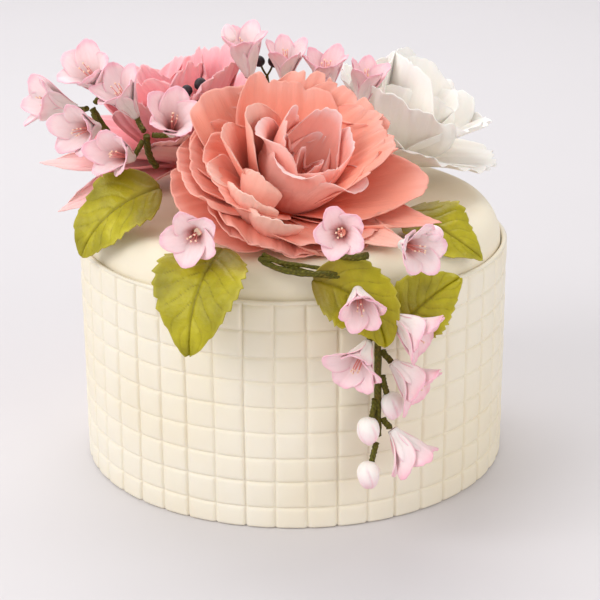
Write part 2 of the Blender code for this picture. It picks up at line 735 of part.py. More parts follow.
def main():
    for ob in list(bpy.data.objects):
        bpy.data.objects.remove(ob)
    coll = bpy.data.collections.new('fondant_cake_with_sugar_flowers')
    cutters = bpy.data.collections.new('cutters')
    bpy.context.scene.collection.children.link(coll)
    bpy.context.scene.collection.children.link(cutters)

    make_body('cake_body', coll, material('cake_fondant', (0.87, 0.80, 0.66)))
    clearance = guide(make_body('cake_clearance', cutters, None, CLEARANCE))
    make_band(coll, material('band_fondant', (0.87, 0.81, 0.68)))
    bm = bmesh.new()
    bmesh.ops.create_cone(bm, cap_ends=True, segments=64, radius1=(BAND_RADIUS + CLEARANCE) * MM,
                          radius2=(BAND_RADIUS + CLEARANCE) * MM, depth=(BAND_HEIGHT + CLEARANCE) * MM)
    for v in bm.verts:
        v.co.z += (BAND_HEIGHT + CLEARANCE) / 2 * MM
    me = bpy.data.meshes.new('band_clearance')
    bm.to_mesh(me)
    bm.free()
    band_clearance = bpy.data.objects.new('band_clearance', me)
    cutters.objects.link(band_clearance)
    guide(band_clearance)

    spots, branches = place_clusters()
    spots += place_row(len(spots))
    chain_blooms, buds, joints, chain_root, chain_end = place_chain(len(spots))
    spots += chain_blooms
    where = {name: (foot, face) for name, foot, face, tube, size, group in spots}
    for name, (friend, turn, rise, away, size) in COMPANY.items():
        buds.append((name, where[friend][0] + away * heading(turn, rise), where[friend][1], size))
    blooms = []
    for k, (name, foot, face, tube, size, group) in enumerate(spots):
        blooms.append(make_blossom(name, foot, foot + tube * face, FACE_RADIUS * size, FACE_FLARE, 36.0 * k % 72,
                                   coll, material(name + '_petals', (0.93, 0.68, 0.72))))
    for name, centre, tip, size in buds:
        blooms.append(make_bud(name, centre, BUD_RADIUS * size, BUD_RADIUS * BUD_SLIM * size, tip,
                               coll, material(name + '_petals', (0.93, 0.70, 0.74))))
    for k, (centre, radius) in enumerate(place_berries()):
        blooms.append(make_berry(f'berry_{k + 1}', centre, radius, coll, material(f'berry_{k + 1}_skin', (0.02, 0.02, 0.025))))
    for k, ob in enumerate(blooms):
        make_room(ob, blooms[:k], cutters)

    wires = []

    def wire(name, start, stop, sag, radius):
        wires.append(make_stem(name, wire_points(start, stop, sag), radius, coll, material(name + '_tape', (0.16, 0.18, 0.03))))

    for name, root, fork, look in branches:
        if name != 'front_left':
            wire('branch_' + name, root + (fork - root) * BRANCH_SHOWS, fork, BRANCH_SAG, WIRE_RADIUS)
            for bloom, foot, face, tube, size, group in spots:
                if group == name and bloom in PEDICELS:
                    away = unit(foot - fork)
                    wire('pedicel_' + bloom, fork + away * 3.0, foot - face * 1.0, 0.5, PEDICEL_RADIUS)
    wire('stem_hanging', chain_root, chain_end, 1.0, WIRE_RADIUS)
    for name, joint, foot in joints:
        away = unit(foot - joint)
        wire('pedicel_' + name, joint + away * 2.5, foot - away * 1.0, 0.0, PEDICEL_RADIUS)
    g = BUNDLE
    pts = []
    for k in range(6):
        t = k / 5
        pts.append(round_cake(g['start'] + (g['stop'] - g['start']) * t, g['distance'] - 8 * (1 - t) ** 3, g['z'] - g['drop'] * t))
    wires.append(make_stem(g['name'], pts, WIRE_RADIUS * g['thick'], coll, material(g['name'] + '_tape', (0.16, 0.18, 0.03))))
    for k, ob in enumerate(wires):
        make_room(ob, blooms + wires[:k], cutters)

    leaves = []
    for name, spec in LEAVES.items():
        verts, faces = shell(leaf_grid(spec, 8, 2), LEAF_THICKNESS)
        leaves.append(add_mesh(name, verts, faces, coll, material(name + '_green', (0.36, 0.36, 0.03))))
    for k, ob in enumerate(leaves):
        make_room(ob, blooms + wires + leaves[:k], cutters)

    for ob in blooms + wires + leaves:
        for solid in (clearance, band_clearance):
            if touches(ob, solid):
                boolean(ob, solid, 'DIFFERENCE')
                tidy(ob)

    tint = {'flower_coral': (0.84, 0.32, 0.22), 'flower_pink': (0.90, 0.42, 0.40), 'flower_white': (0.90, 0.86, 0.76)}
    peonies = {}
    for name, spec in PEONIES.items():
        peonies[name] = make_peony(name, spec, coll, cutters, material(name.replace('flower_', '') + '_petals', tint[name]))
    for a, b, share in PARTING:
        foot_a, foot_b = peony_frame(PEONIES[a])[0], peony_frame(PEONIES[b])[0]
        part_from(peonies[a], foot_a, foot_b, share, cutters)
        part_from(peonies[b], foot_b, foot_a, 1 - share, cutters)
    for ob in peonies.values():
        boolean(ob, clearance, 'DIFFERENCE')
        boolean(ob, band_clearance, 'DIFFERENCE')
        tidy(ob)
        make_room(ob, blooms + wires + leaves, cutters)


main()
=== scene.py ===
import math

import bpy
import numpy as np
from mathutils import Matrix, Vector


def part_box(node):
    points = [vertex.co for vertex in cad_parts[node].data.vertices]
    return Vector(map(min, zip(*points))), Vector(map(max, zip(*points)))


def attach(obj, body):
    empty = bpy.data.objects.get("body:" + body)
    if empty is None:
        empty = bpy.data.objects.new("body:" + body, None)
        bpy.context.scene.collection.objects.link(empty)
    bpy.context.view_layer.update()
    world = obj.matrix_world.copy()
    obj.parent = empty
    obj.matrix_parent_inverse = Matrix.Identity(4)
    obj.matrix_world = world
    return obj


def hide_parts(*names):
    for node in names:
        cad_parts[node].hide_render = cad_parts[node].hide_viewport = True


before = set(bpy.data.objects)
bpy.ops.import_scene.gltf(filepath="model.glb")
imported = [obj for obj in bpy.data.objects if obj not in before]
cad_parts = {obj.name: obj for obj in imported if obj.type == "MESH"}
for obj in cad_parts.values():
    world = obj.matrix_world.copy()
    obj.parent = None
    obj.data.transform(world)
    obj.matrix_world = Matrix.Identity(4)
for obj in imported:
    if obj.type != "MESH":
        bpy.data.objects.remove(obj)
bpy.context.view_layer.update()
MM = 0.001
rng = np.random.default_rng


# =============================================================== mesh helpers
def unit(v):
    v = np.asarray(v, float)
    return v / np.linalg.norm(v)


def axes(axis, front=(0.0, -1.0, 0.0)):
    z = unit(axis)
    f = np.asarray(front, float)
    x = unit(f - z * (f @ z))
    return np.stack([x, np.cross(z, x), z], 1)


def smooth01(x):
    x = np.clip(x, 0, 1)
    return x * x * (3 - 2 * x)


class Build:
    """Gathers patches into one mesh, with point attributes and a UV map in units of 10 mm."""

    def __init__(self):
        self.v, self.f, self.uv, self.at, self.mi, self.n = [], [], [], {}, [], 0

    def add(self, verts, faces, uv=None, mat=0, **attrs):
        verts = np.asarray(verts, float).reshape(-1, 3)
        k = len(verts)
        self.v.append(verts)
        faces = np.asarray(faces, np.int64)
        if faces.shape[1] == 3:
            faces = np.concatenate([faces, np.full((len(faces), 1), -1 - self.n)], 1)
        self.f.append(faces + self.n)
        self.mi.append(np.full(len(faces), mat))
        self.uv.append(np.zeros((k, 2)) if uv is None else np.asarray(uv, float).reshape(-1, 2))
        for name in sorted(set(self.at) | set(attrs)):
            col = self.at.setdefault(name, [np.zeros(self.n)] if self.n else [])
            val = attrs.get(name, 0.0)
            col.append(np.broadcast_to(np.asarray(val, float), (k,)) if np.ndim(val) == 0 else np.asarray(val, float).reshape(-1))
        self.n += k

    def object(self, name, mats):
        v = np.concatenate(self.v) * MM
        f = np.concatenate(self.f)
        mi = np.concatenate(self.mi)
        tri = f[:, 3] < 0
        counts = np.where(tri, 3, 4)
        loops = f[np.arange(4)[None, :] < counts[:, None]]
        starts = np.concatenate([[0], np.cumsum(counts)[:-1]])
        me = bpy.data.meshes.new(name)
        me.vertices.add(len(v))
        me.vertices.foreach_set("co", v.astype(np.float32).ravel())
        me.loops.add(len(loops))
        me.loops.foreach_set("vertex_index", loops.astype(np.int32))
        me.polygons.add(len(f))
        me.polygons.foreach_set("loop_start", starts.astype(np.int32))
        me.polygons.foreach_set("material_index", mi.astype(np.int32))
        me.polygons.foreach_set("use_smooth", np.ones(len(f), bool))
        uv = np.concatenate(self.uv)
        layer = me.uv_layers.new(name="Surface")
        layer.data.foreach_set("uv", uv[loops].astype(np.float32).ravel())
        for key, cols in self.at.items():
            a = me.attributes.new(key, "FLOAT", "POINT")
            a.data.foreach_set("value", np.concatenate(cols).astype(np.float32))
        for m in mats:
            me.materials.append(m)
        me.update(calc_edges=True)
        me.validate()
        ob = bpy.data.objects.new(name, me)
        bpy.context.scene.collection.objects.link(ob)
        return ob


def grid_quads(nu, nv, wrap=False):
    """Quads of a (nu+1) x (nv+1) grid, or (nu+1) x nv closed in v when wrap is set."""
    cols = nv if wrap else nv + 1
    i, j = np.meshgrid(np.arange(nu), np.arange(nv), indexing="ij")
    k = (j + 1) % cols if wrap else j + 1
    return np.stack([i * cols + j, (i + 1) * cols + j, (i + 1) * cols + k, i * cols + k], -1).reshape(-1, 4)


def grid_normals(p, wrap=False):
    if wrap:
        q = np.concatenate([p[:, -1:], p, p[:, :1]], 1)
        dv = (q[:, 2:] - q[:, :-2]) / 2
    else:
        dv = np.gradient(p, axis=1)
    n = np.cross(np.gradient(p, axis=0), dv)
    length = np.linalg.norm(n, axis=-1, keepdims=True)
    length[length < 1e-12] = 1
    return n / length


def sheet(b, p, uv, thick, rim, mat=0, **attrs):
    """Thin closed sheet round a grid; it thins to rim at its free edges."""
    nu, nv = p.shape[0] - 1, p.shape[1] - 1
    n = grid_normals(p)
    u = np.linspace(0, 1, nu + 1)[:, None]
    v = np.linspace(-1, 1, nv + 1)[None, :]
    e = np.minimum(1 - u + 0 * v, (1 - np.abs(v)) + 0 * u)
    th = (rim + (thick - rim) * smooth01(e * 7))[..., None] / 2
    m = (nu + 1) * (nv + 1)
    q = grid_quads(nu, nv)
    idx = np.arange(m).reshape(nu + 1, nv + 1)
    loop = np.concatenate([idx[0, :-1], idx[:-1, -1], idx[-1, :0:-1], idx[:0:-1, 0]])
    nxt = np.roll(loop, -1)
    rimq = np.stack([loop, nxt, nxt + m, loop + m], -1)
    faces = np.concatenate([q, q[:, ::-1] + m, rimq])
    two = {k: np.concatenate([np.broadcast_to(w, p.shape[:2]).ravel()] * 2) for k, w in attrs.items()}
    two["back"] = np.concatenate([np.zeros(m), np.ones(m)])
    b.add(np.concatenate([(p + n * th).reshape(-1, 3), (p - n * th).reshape(-1, 3)]), faces,
          np.concatenate([uv.reshape(-1, 2)] * 2), mat, **two)


def tube(b, pts, radii, sides=12, mat=0, steps=6, rough=0.0, seed=0, **attrs):
    """Round tube along a smooth curve through pts, closed at both ends."""
    pts = np.asarray(pts, float)
    t = np.arange(len(pts))
    s = np.linspace(0, len(pts) - 1, (len(pts) - 1) * steps + 1)
    if len(pts) > 2:
        ext = np.concatenate([[2 * pts[0] - pts[1]], pts, [2 * pts[-1] - pts[-2]]])
        i = np.clip(np.floor(s).astype(int), 0, len(pts) - 2)
        f = (s - i)[:, None]
        a, c, d, e = ext[i], ext[i + 1], ext[i + 2], ext[i + 3]
        line = 0.5 * ((2 * c) + (d - a) * f + (2 * a - 5 * c + 4 * d - e) * f ** 2 + (3 * c - a - 3 * d + e) * f ** 3)
    else:
        line = np.stack([np.interp(s, t, pts[:, k]) for k in range(3)], 1)
    rad = np.interp(s, t, np.broadcast_to(np.asarray(radii, float), (len(pts),)))
    tan = np.gradient(line, axis=0)
    tan /= np.linalg.norm(tan, axis=1, keepdims=True)
    ref = unit(np.cross(tan[0], [0.3, 0.2, 1.0]))
    rows, r = [], rng(seed)
    ph = r.uniform(0, 6.28, 4)
    for k in range(len(line)):
        ref = unit(ref - tan[k] * (ref @ tan[k]))
        bi = np.cross(tan[k], ref)
        ang = np.linspace(0, 2 * np.pi, sides, endpoint=False)
        rr = rad[k] * (1 + rough * (np.sin(3 * ang + k * 0.9 + ph[0]) * 0.5 + np.sin(2 * ang - k * 0.6 + ph[1]) * 0.5))
        rows.append(line[k] + rr[:, None] * (np.cos(ang)[:, None] * ref + np.sin(ang)[:, None] * bi))
    p = np.array(rows)
    nu = len(line) - 1
    faces = grid_quads(nu, sides, True)
    base = len(p.reshape(-1, 3))
    caps = []
    for k in range(sides):
        caps.append([base, (k + 1) % sides, k])
        caps.append([base + 1, nu * sides + k, nu * sides + (k + 1) % sides])
    verts = np.concatenate([p.reshape(-1, 3), line[:1], line[-1:]])
    al = np.concatenate([np.repeat(np.linspace(0, 1, nu + 1), sides), [0, 1]])
    length = np.linalg.norm(np.diff(line, axis=0), axis=1).sum()
    ang = np.concatenate([np.tile(np.linspace(0, 1, sides, endpoint=False), nu + 1), [0, 0]])
    uv = np.stack([ang * 2 * np.pi * float(np.mean(rad)) / 10, al * length / 10], 1)
    allf = np.concatenate([faces, np.concatenate([np.array(caps), np.full((len(caps), 1), -1)], 1)])
    n0 = b.n
    f2 = allf.copy()
    f2[len(faces):, 3] = -1 - n0
    b_add_raw(b, verts, f2, uv, mat, along=al, **attrs)


def b_add_raw(b, verts, faces, uv, mat, **attrs):
    """Adds faces whose fourth index is already -1-n for triangles."""
    k = len(verts)
    b.v.append(np.asarray(verts, float))
    b.f.append(faces + b.n)
    b.mi.append(np.full(len(faces), mat))
    b.uv.append(np.asarray(uv, float))
    for name in sorted(set(b.at) | set(attrs)):
        col = b.at.setdefault(name, [np.zeros(b.n)] if b.n else [])
        val = attrs.get(name, 0.0)
        col.append(np.broadcast_to(np.asarray(val, float), (k,)) if np.ndim(val) == 0 else np.asarray(val, float).reshape(-1))
    b.n += k


# =============================================================== petals
def spine(t, length, a0, a1, curl):
    n = 72
    s = np.linspace(0, 1, n + 1)
    ang = a0 + (a1 - a0) * s + curl * np.clip((s - 0.62) / 0.38, 0, 1) ** 2
    mid = (ang[1:] + ang[:-1]) / 2
    x = np.concatenate([[0], np.cumsum(np.sin(mid))]) * length / n
    z = np.concatenate([[0], np.cumsum(np.cos(mid))]) * length / n
    over = np.maximum(t - 1, 0) * length
    return (np.interp(t, s, x) + over * math.sin(ang[-1]), np.interp(t, s, z) + over * math.cos(ang[-1]), np.interp(t, s, ang))


PETAL = dict(phi=0.0, a0=40.0, a1=50.0, L=50.0, W=40.0, cup0=50.0, cup1=25.0, r0=4.0, z0=0.0, rnd=0.25, pw=2.2, base=0.3,
             wide=0.8, slim=0.3, curl=0.0, ruffle=1.0, waves=2.0, jag=0.02, slant=0.0, bend=0.0, twist=0.0, roll=0.0,
             ridge=0.12, teeth=7, tone=0.5, pale=0.0, seed=1, nu=30, nv=40, thick=0.7, rim=0.35, point=0.0, lump=0.6)


def petal_outline(g, ph, u, v, width):
    """Distance along the petal and half width, with a torn or even end."""
    end = 1 - g["rnd"] * np.abs(v) ** g["pw"] + g["slant"] * v
    if g["point"]:
        end = end - g["point"] * np.abs(v) ** 1.0 + g["point"] * 0.5
    frill = 0.55 * np.sin(3.7 * v + ph[0]) + 0.35 * np.sin(8.9 * v + ph[1]) + 0.12 * np.sin(23.0 * v + ph[2])
    for k in range(int(g["teeth"])):
        at = -0.92 + 1.84 * (k + 0.5 + 0.7 * math.sin(ph[k % 16] * 3 + k)) / g["teeth"]
        deep = 0.5 + 0.9 * (0.5 + 0.5 * math.sin(ph[(k + 5) % 16] * 5))
        frill = frill - deep * np.exp(-np.abs(v - at) / (0.025 + 0.03 * (0.5 + 0.5 * math.sin(ph[(k + 9) % 16] * 7))))
    t = u * end + g["jag"] * frill * smooth01((u - 0.55) / 0.45)
    wd = g["wide"]
    h = g["base"] + (1 - g["base"]) * np.sin(np.pi / 2 * np.clip(u / wd, 0, 1))
    h = h * (1 - g["slim"] * np.clip((u - wd) / (1.0001 - wd), 0, 1) ** 2)
    h = h * (1 + 0.035 * np.sin(6.0 * u + ph[6]) * u)
    return t, width / 2 * h


def petal_relief(g, ph, u, v, t):
    """Ruffles, lumps, fine folds and rolled rims, as a height over the petal."""
    e = np.clip(t, 0, 1)
    side = 0.3 + 0.7 * np.abs(v) ** 1.4
    off = g["ruffle"] * e ** 2.4 * side * (np.sin(g["waves"] * np.pi * v + ph[7]) + 0.5 * np.sin(1.9 * g["waves"] * np.pi * v + ph[8] + 2 * u))
    off = off + g["ruffle"] * 0.6 * np.abs(v) ** 3 * np.sin(6.5 * u + ph[9]) * e
    off = off + g["lump"] * e * (1 - e * 0.3) * (np.sin(2.2 * v + 3.1 * u + ph[10]) * 0.5 + np.sin(3.9 * u - 1.3 * v + ph[11]) * 0.4)
    fan = v * (1 + 0.12 * np.sin(3 * v + ph[12]))
    off = off + g["ridge"] * smooth01(u * 2.2) * (np.sin(26 * fan + ph[13]) + 0.6 * np.sin(47 * fan + ph[14] + 1.2 * u) + 0.4 * np.sin(11 * fan + ph[15]))
    return off - g["roll"] * np.clip((np.abs(v) - 0.62) / 0.38, 0, 1) ** 2 * e - g["roll"] * np.clip((e - 0.8) / 0.2, 0, 1) ** 2 * 0.6


def petal_points(g, o, m, u, v):
    """Points of a petal that leaves a flower's axis; u runs from base 0 to tip 1, v from side to side."""
    r = rng(int(g["seed"]) * 7 + 11)
    ph = r.uniform(0, 6.28, 16)
    t, w = petal_outline(g, ph, u, v, g["W"])
    c = np.radians(g["cup0"] + (g["cup1"] - g["cup0"]) * np.clip(t, 0, 1))
    c = np.where(np.abs(c) < 0.02, 0.02, c)
    y = w / c * np.sin(c * v)
    rise = w / c * (1 - np.cos(c * v))
    x, z, a = spine(np.clip(t, 0, 1.3), g["L"], math.radians(g["a0"]), math.radians(g["a1"]), math.radians(g["curl"]))
    e = np.clip(t, 0, 1)
    off = petal_relief(g, ph, u, v, t)
    nx, nz = -np.cos(a), np.sin(a)
    yb = g["bend"] * e ** 2 * g["L"]
    p = np.stack([x + (rise + off) * nx, y + yb, z + (rise + off) * nz], -1)
    if g["twist"]:
        tw = math.radians(g["twist"]) * e
        d = p - np.stack([x, yb, z], -1)
        k = np.stack([np.sin(a), 0 * a, np.cos(a)], -1)
        dot = (k * d).sum(-1, keepdims=True)
        cs, sn = np.cos(tw)[..., None], np.sin(tw)[..., None]
        p = p - d + d * cs + np.cross(k, d) * sn + k * dot * (1 - cs)
    p = p + np.array([g["r0"], 0, g["z0"]])
    cs, sn = math.cos(math.radians(g["phi"])), math.sin(math.radians(g["phi"]))
    p = p @ np.array([[cs, sn, 0], [-sn, cs, 0], [0, 0, 1]])
    p = p @ m.T + np.asarray(o, float)
    return p, t, w


# ---- end of petal shape
def petal(b, o, m, mat=0, **kw):
    """One petal of a flower with origin o and axes m; sizes in mm, angles in degrees."""
    g = dict(PETAL)
    g.update(kw)
    nu, nv = int(g["nu"]), int(g["nv"])
    us = 1 - (1 - np.linspace(0, 1, nu + 1)) ** 1.15
    u, v = np.meshgrid(us, np.linspace(-1, 1, nv + 1), indexing="ij")
    p, t, w = petal_points(g, o, m, u, v)
    uv = np.stack([v * w * 0.9 / 10 + 13.7 * g["seed"], t * g["L"] / 10 + 3.1 * g["seed"]], -1)
    edge = np.maximum(smooth01((u - 0.86) / 0.14), smooth01((np.abs(v) - 0.88) / 0.12) * smooth01(u * 3))
    sheet(b, p, uv, g["thick"], g["rim"], mat, along=np.clip(t, 0, 1), edge=edge, tone=g["tone"] + 0 * u, pale=g["pale"] + 0 * u)


def core(b, o, m, radius, half, lift=4.0, mat=0):
    """Rounded heart that the petals stand on."""
    n, k = 24, 12
    th = np.linspace(0.02, np.pi - 0.02, k + 1)[:, None]
    ph = np.linspace(0, 2 * np.pi, n, endpoint=False)[None, :]
    loc = np.stack([radius * np.sin(th) * np.cos(ph), radius * np.sin(th) * np.sin(ph), half * np.cos(th) + lift + 0 * ph], -1)
    p = loc.reshape(-1, 3) @ m.T + np.asarray(o, float)
    caps = np.stack([np.zeros(n - 2, int), np.arange(1, n - 1), np.arange(2, n)], 1)
    f = np.concatenate([grid_quads(k, n, True)[:, ::-1],
                        np.concatenate([caps, np.full((len(caps), 1), -1 - b.n)], 1),
                        np.concatenate([caps[:, ::-1] + k * n, np.full((len(caps), 1), -1 - b.n)], 1)])
    b_add_raw(b, p, f, np.zeros((len(p), 2)), mat, along=0.02, edge=0.0, tone=0.5, pale=0.0, back=0.0)


# =============================================================== blossoms, leaves, buds
def blossom(b, foot, axis, depth, radius, turn, seed, tint, stamens=6):
    """Trumpet blossom: five broad cupped petals that overlap round a narrow tube, and thread stamens."""
    m = axes(axis)
    r = rng(seed * 13 + 5)
    chord = math.hypot(depth, radius - 1.8)
    slope = math.degrees(math.atan2(radius - 1.8, depth))
    for k in range(5):
        a0 = 4 + r.uniform(-2, 2)
        a1 = 2 * slope - a0 + r.uniform(-7, 7)
        length = chord * 1.05 * r.uniform(0.95, 1.04)
        petal(b, foot, m, phi=turn + 72 * k + r.uniform(-4, 4), a0=a0, a1=a1, L=length, W=radius * 1.18 * r.uniform(0.92, 1.10),
              r0=1.9, cup0=56, cup1=30 + r.uniform(-6, 10), rnd=0.22, pw=2.1, base=0.26, wide=0.76, slim=0.16, twist=9, curl=r.uniform(-24, 16),
              ruffle=0.5, waves=2.4, jag=0.012, teeth=3, ridge=0.05, lump=0.25, slant=r.uniform(-0.05, 0.05),
              tone=float(np.clip(tint + r.uniform(-0.1, 0.1), 0, 1)), seed=seed * 7 + k, nu=22, nv=24, thick=0.5, rim=0.28)
    for k in range(stamens):
        an = 2 * math.pi * k / stamens + r.uniform(-0.4, 0.4)
        out = radius * r.uniform(0.05, 0.22)
        top = np.array([out * math.cos(an), out * math.sin(an), depth * r.uniform(0.68, 0.92)])
        low = np.array([0.5 * math.cos(an), 0.5 * math.sin(an), depth * 0.25])
        line = np.array([low, (low + top) / 2 + [0.1 * math.cos(an), 0.1 * math.sin(an), 0.2], top]) @ m.T + foot
        tube(b, line, [0.26, 0.22, 0.18], sides=6, mat=1, steps=4, tone=0.3, edge=0.0, back=0.0)
        ball(b, line[-1], 0.45, mat=2, tone=0.5)


def flip(f, n):
    g = f.copy()
    tri = f[:, 3] == -1 - n
    g[~tri] = f[~tri][:, ::-1]
    g[tri, 0], g[tri, 1] = f[tri, 1], f[tri, 0]
    return g


def check_out(verts, f, n):
    """True where the faces enclose a positive volume."""
    tri = f[:, 3] == -1 - n
    t1 = f[:, :3]
    q = f[~tri][:, [0, 2, 3]]
    t = np.concatenate([t1, q])
    a, c, d = verts[t[:, 0]], verts[t[:, 1]], verts[t[:, 2]]
    return float((a * np.cross(c, d)).sum()) > 0


def ball(b, c, radius, mat=0, squash=None, nu=6, nv=8, noise=0.0, seed=0, stretch=1.0, axis=(0, 0, 1), **attrs):
    """Small round bead."""
    th = np.linspace(0, np.pi, nu + 1)[1:-1][:, None]
    ph = np.linspace(0, 2 * np.pi, nv, endpoint=False)[None, :]
    m = axes(axis)
    rr = radius * (1 + noise * (np.sin(3 * ph + seed) * np.sin(2 * th + seed * 1.3) + 0.5 * np.sin(5 * ph + 2 * seed) * np.sin(4 * th)))
    loc = np.stack([rr * np.sin(th) * np.cos(ph), rr * np.sin(th) * np.sin(ph), rr * np.cos(th) * stretch + 0 * ph], -1)
    k = nu - 2
    verts = np.concatenate([loc.reshape(-1, 3), [[0, 0, radius * stretch], [0, 0, -radius * stretch]]]) @ m.T + np.asarray(c, float)
    M = (k + 1) * nv
    j = np.arange(nv)
    j2 = (j + 1) % nv
    top = np.stack([np.full(nv, M), j, j2], -1)
    bot = np.stack([np.full(nv, M + 1), k * nv + j2, k * nv + j], -1)
    tri = np.concatenate([top, bot])
    ff = np.concatenate([grid_quads(k, nv, True), np.concatenate([tri, np.full((len(tri), 1), -1 - b.n)], 1)])
    if not check_out(verts - np.asarray(c, float), ff, b.n):
        ff = flip(ff, b.n)
    uv = np.concatenate([np.stack([ph * radius / 10 + 0 * th, th * radius / 10 + 0 * ph], -1).reshape(-1, 2), np.zeros((2, 2))])
    base = dict(along=0.9, edge=0.0, tone=0.5, back=0.0)
    base.update(attrs)
    b_add_raw(b, verts, ff, uv, mat, **base)


def bud(b, centre, radius, half, tip, seed, mat=0, turns=0.9, lobes=4, nu=30, nv=48):
    """Closed bud of lobes that wrap round one another."""
    m = axes(tip)
    r = rng(seed * 17 + 3)
    ph0 = r.uniform(0, 6.28)
    th = np.linspace(0, np.pi, nu + 1)[1:-1][:, None]
    ph = np.linspace(0, 2 * np.pi, nv, endpoint=False)[None, :]
    zz = -np.cos(th)
    prof = np.sin(th) ** 0.85 * (1 - 0.10 * zz)
    sw = (lobes * (ph + ph0 + turns * (zz + 1) / 2)) / (2 * np.pi)
    fr = sw - np.floor(sw)
    seam = smooth01(fr / 0.10) * (1 - 0.0 * fr)
    step = (0.085 * (fr - 0.5) - 0.13 * np.exp(-(np.minimum(fr, 1 - fr) / 0.045) ** 2)) * smooth01((zz + 0.75) / 0.5)
    rr = radius * prof * (1 + step)
    loc = np.stack([rr * np.cos(ph), rr * np.sin(ph), half * zz * (1 + 0.06 * np.sin(2 * ph + ph0) * (zz > 0)) + 0 * ph], -1)
    verts = np.concatenate([loc.reshape(-1, 3), [[0, 0, -half], [0, 0, half * 1.02]]]) @ m.T + np.asarray(centre, float)
    k = nu - 2
    M = (k + 1) * nv
    j = np.arange(nv)
    j2 = (j + 1) % nv
    tri = np.concatenate([np.stack([np.full(nv, M), j2, j], -1), np.stack([np.full(nv, M + 1), k * nv + j, k * nv + j2], -1)])
    ff = np.concatenate([grid_quads(k, nv, True)[:, ::-1], np.concatenate([tri, np.full((len(tri), 1), -1 - b.n)], 1)])
    if not check_out(verts - np.asarray(centre, float), ff, b.n):
        ff = flip(ff, b.n)
    al = np.concatenate([((zz + 1) / 2 + 0 * ph).ravel(), [0, 1]])
    sm = np.exp(-(np.minimum(fr, 1 - fr) / 0.07) ** 2) * smooth01((zz + 0.8) / 0.4)
    ed = np.concatenate([sm.ravel(), [0, 0]])
    uv = np.concatenate([np.stack([ph * radius / 10 + 0 * th, zz * half / 10 + 0 * ph], -1).reshape(-1, 2), np.zeros((2, 2))]) + seed
    b_add_raw(b, verts, ff, uv, mat, along=al, edge=ed * 0.6, tone=r.uniform(0.25, 0.5), back=1.0)


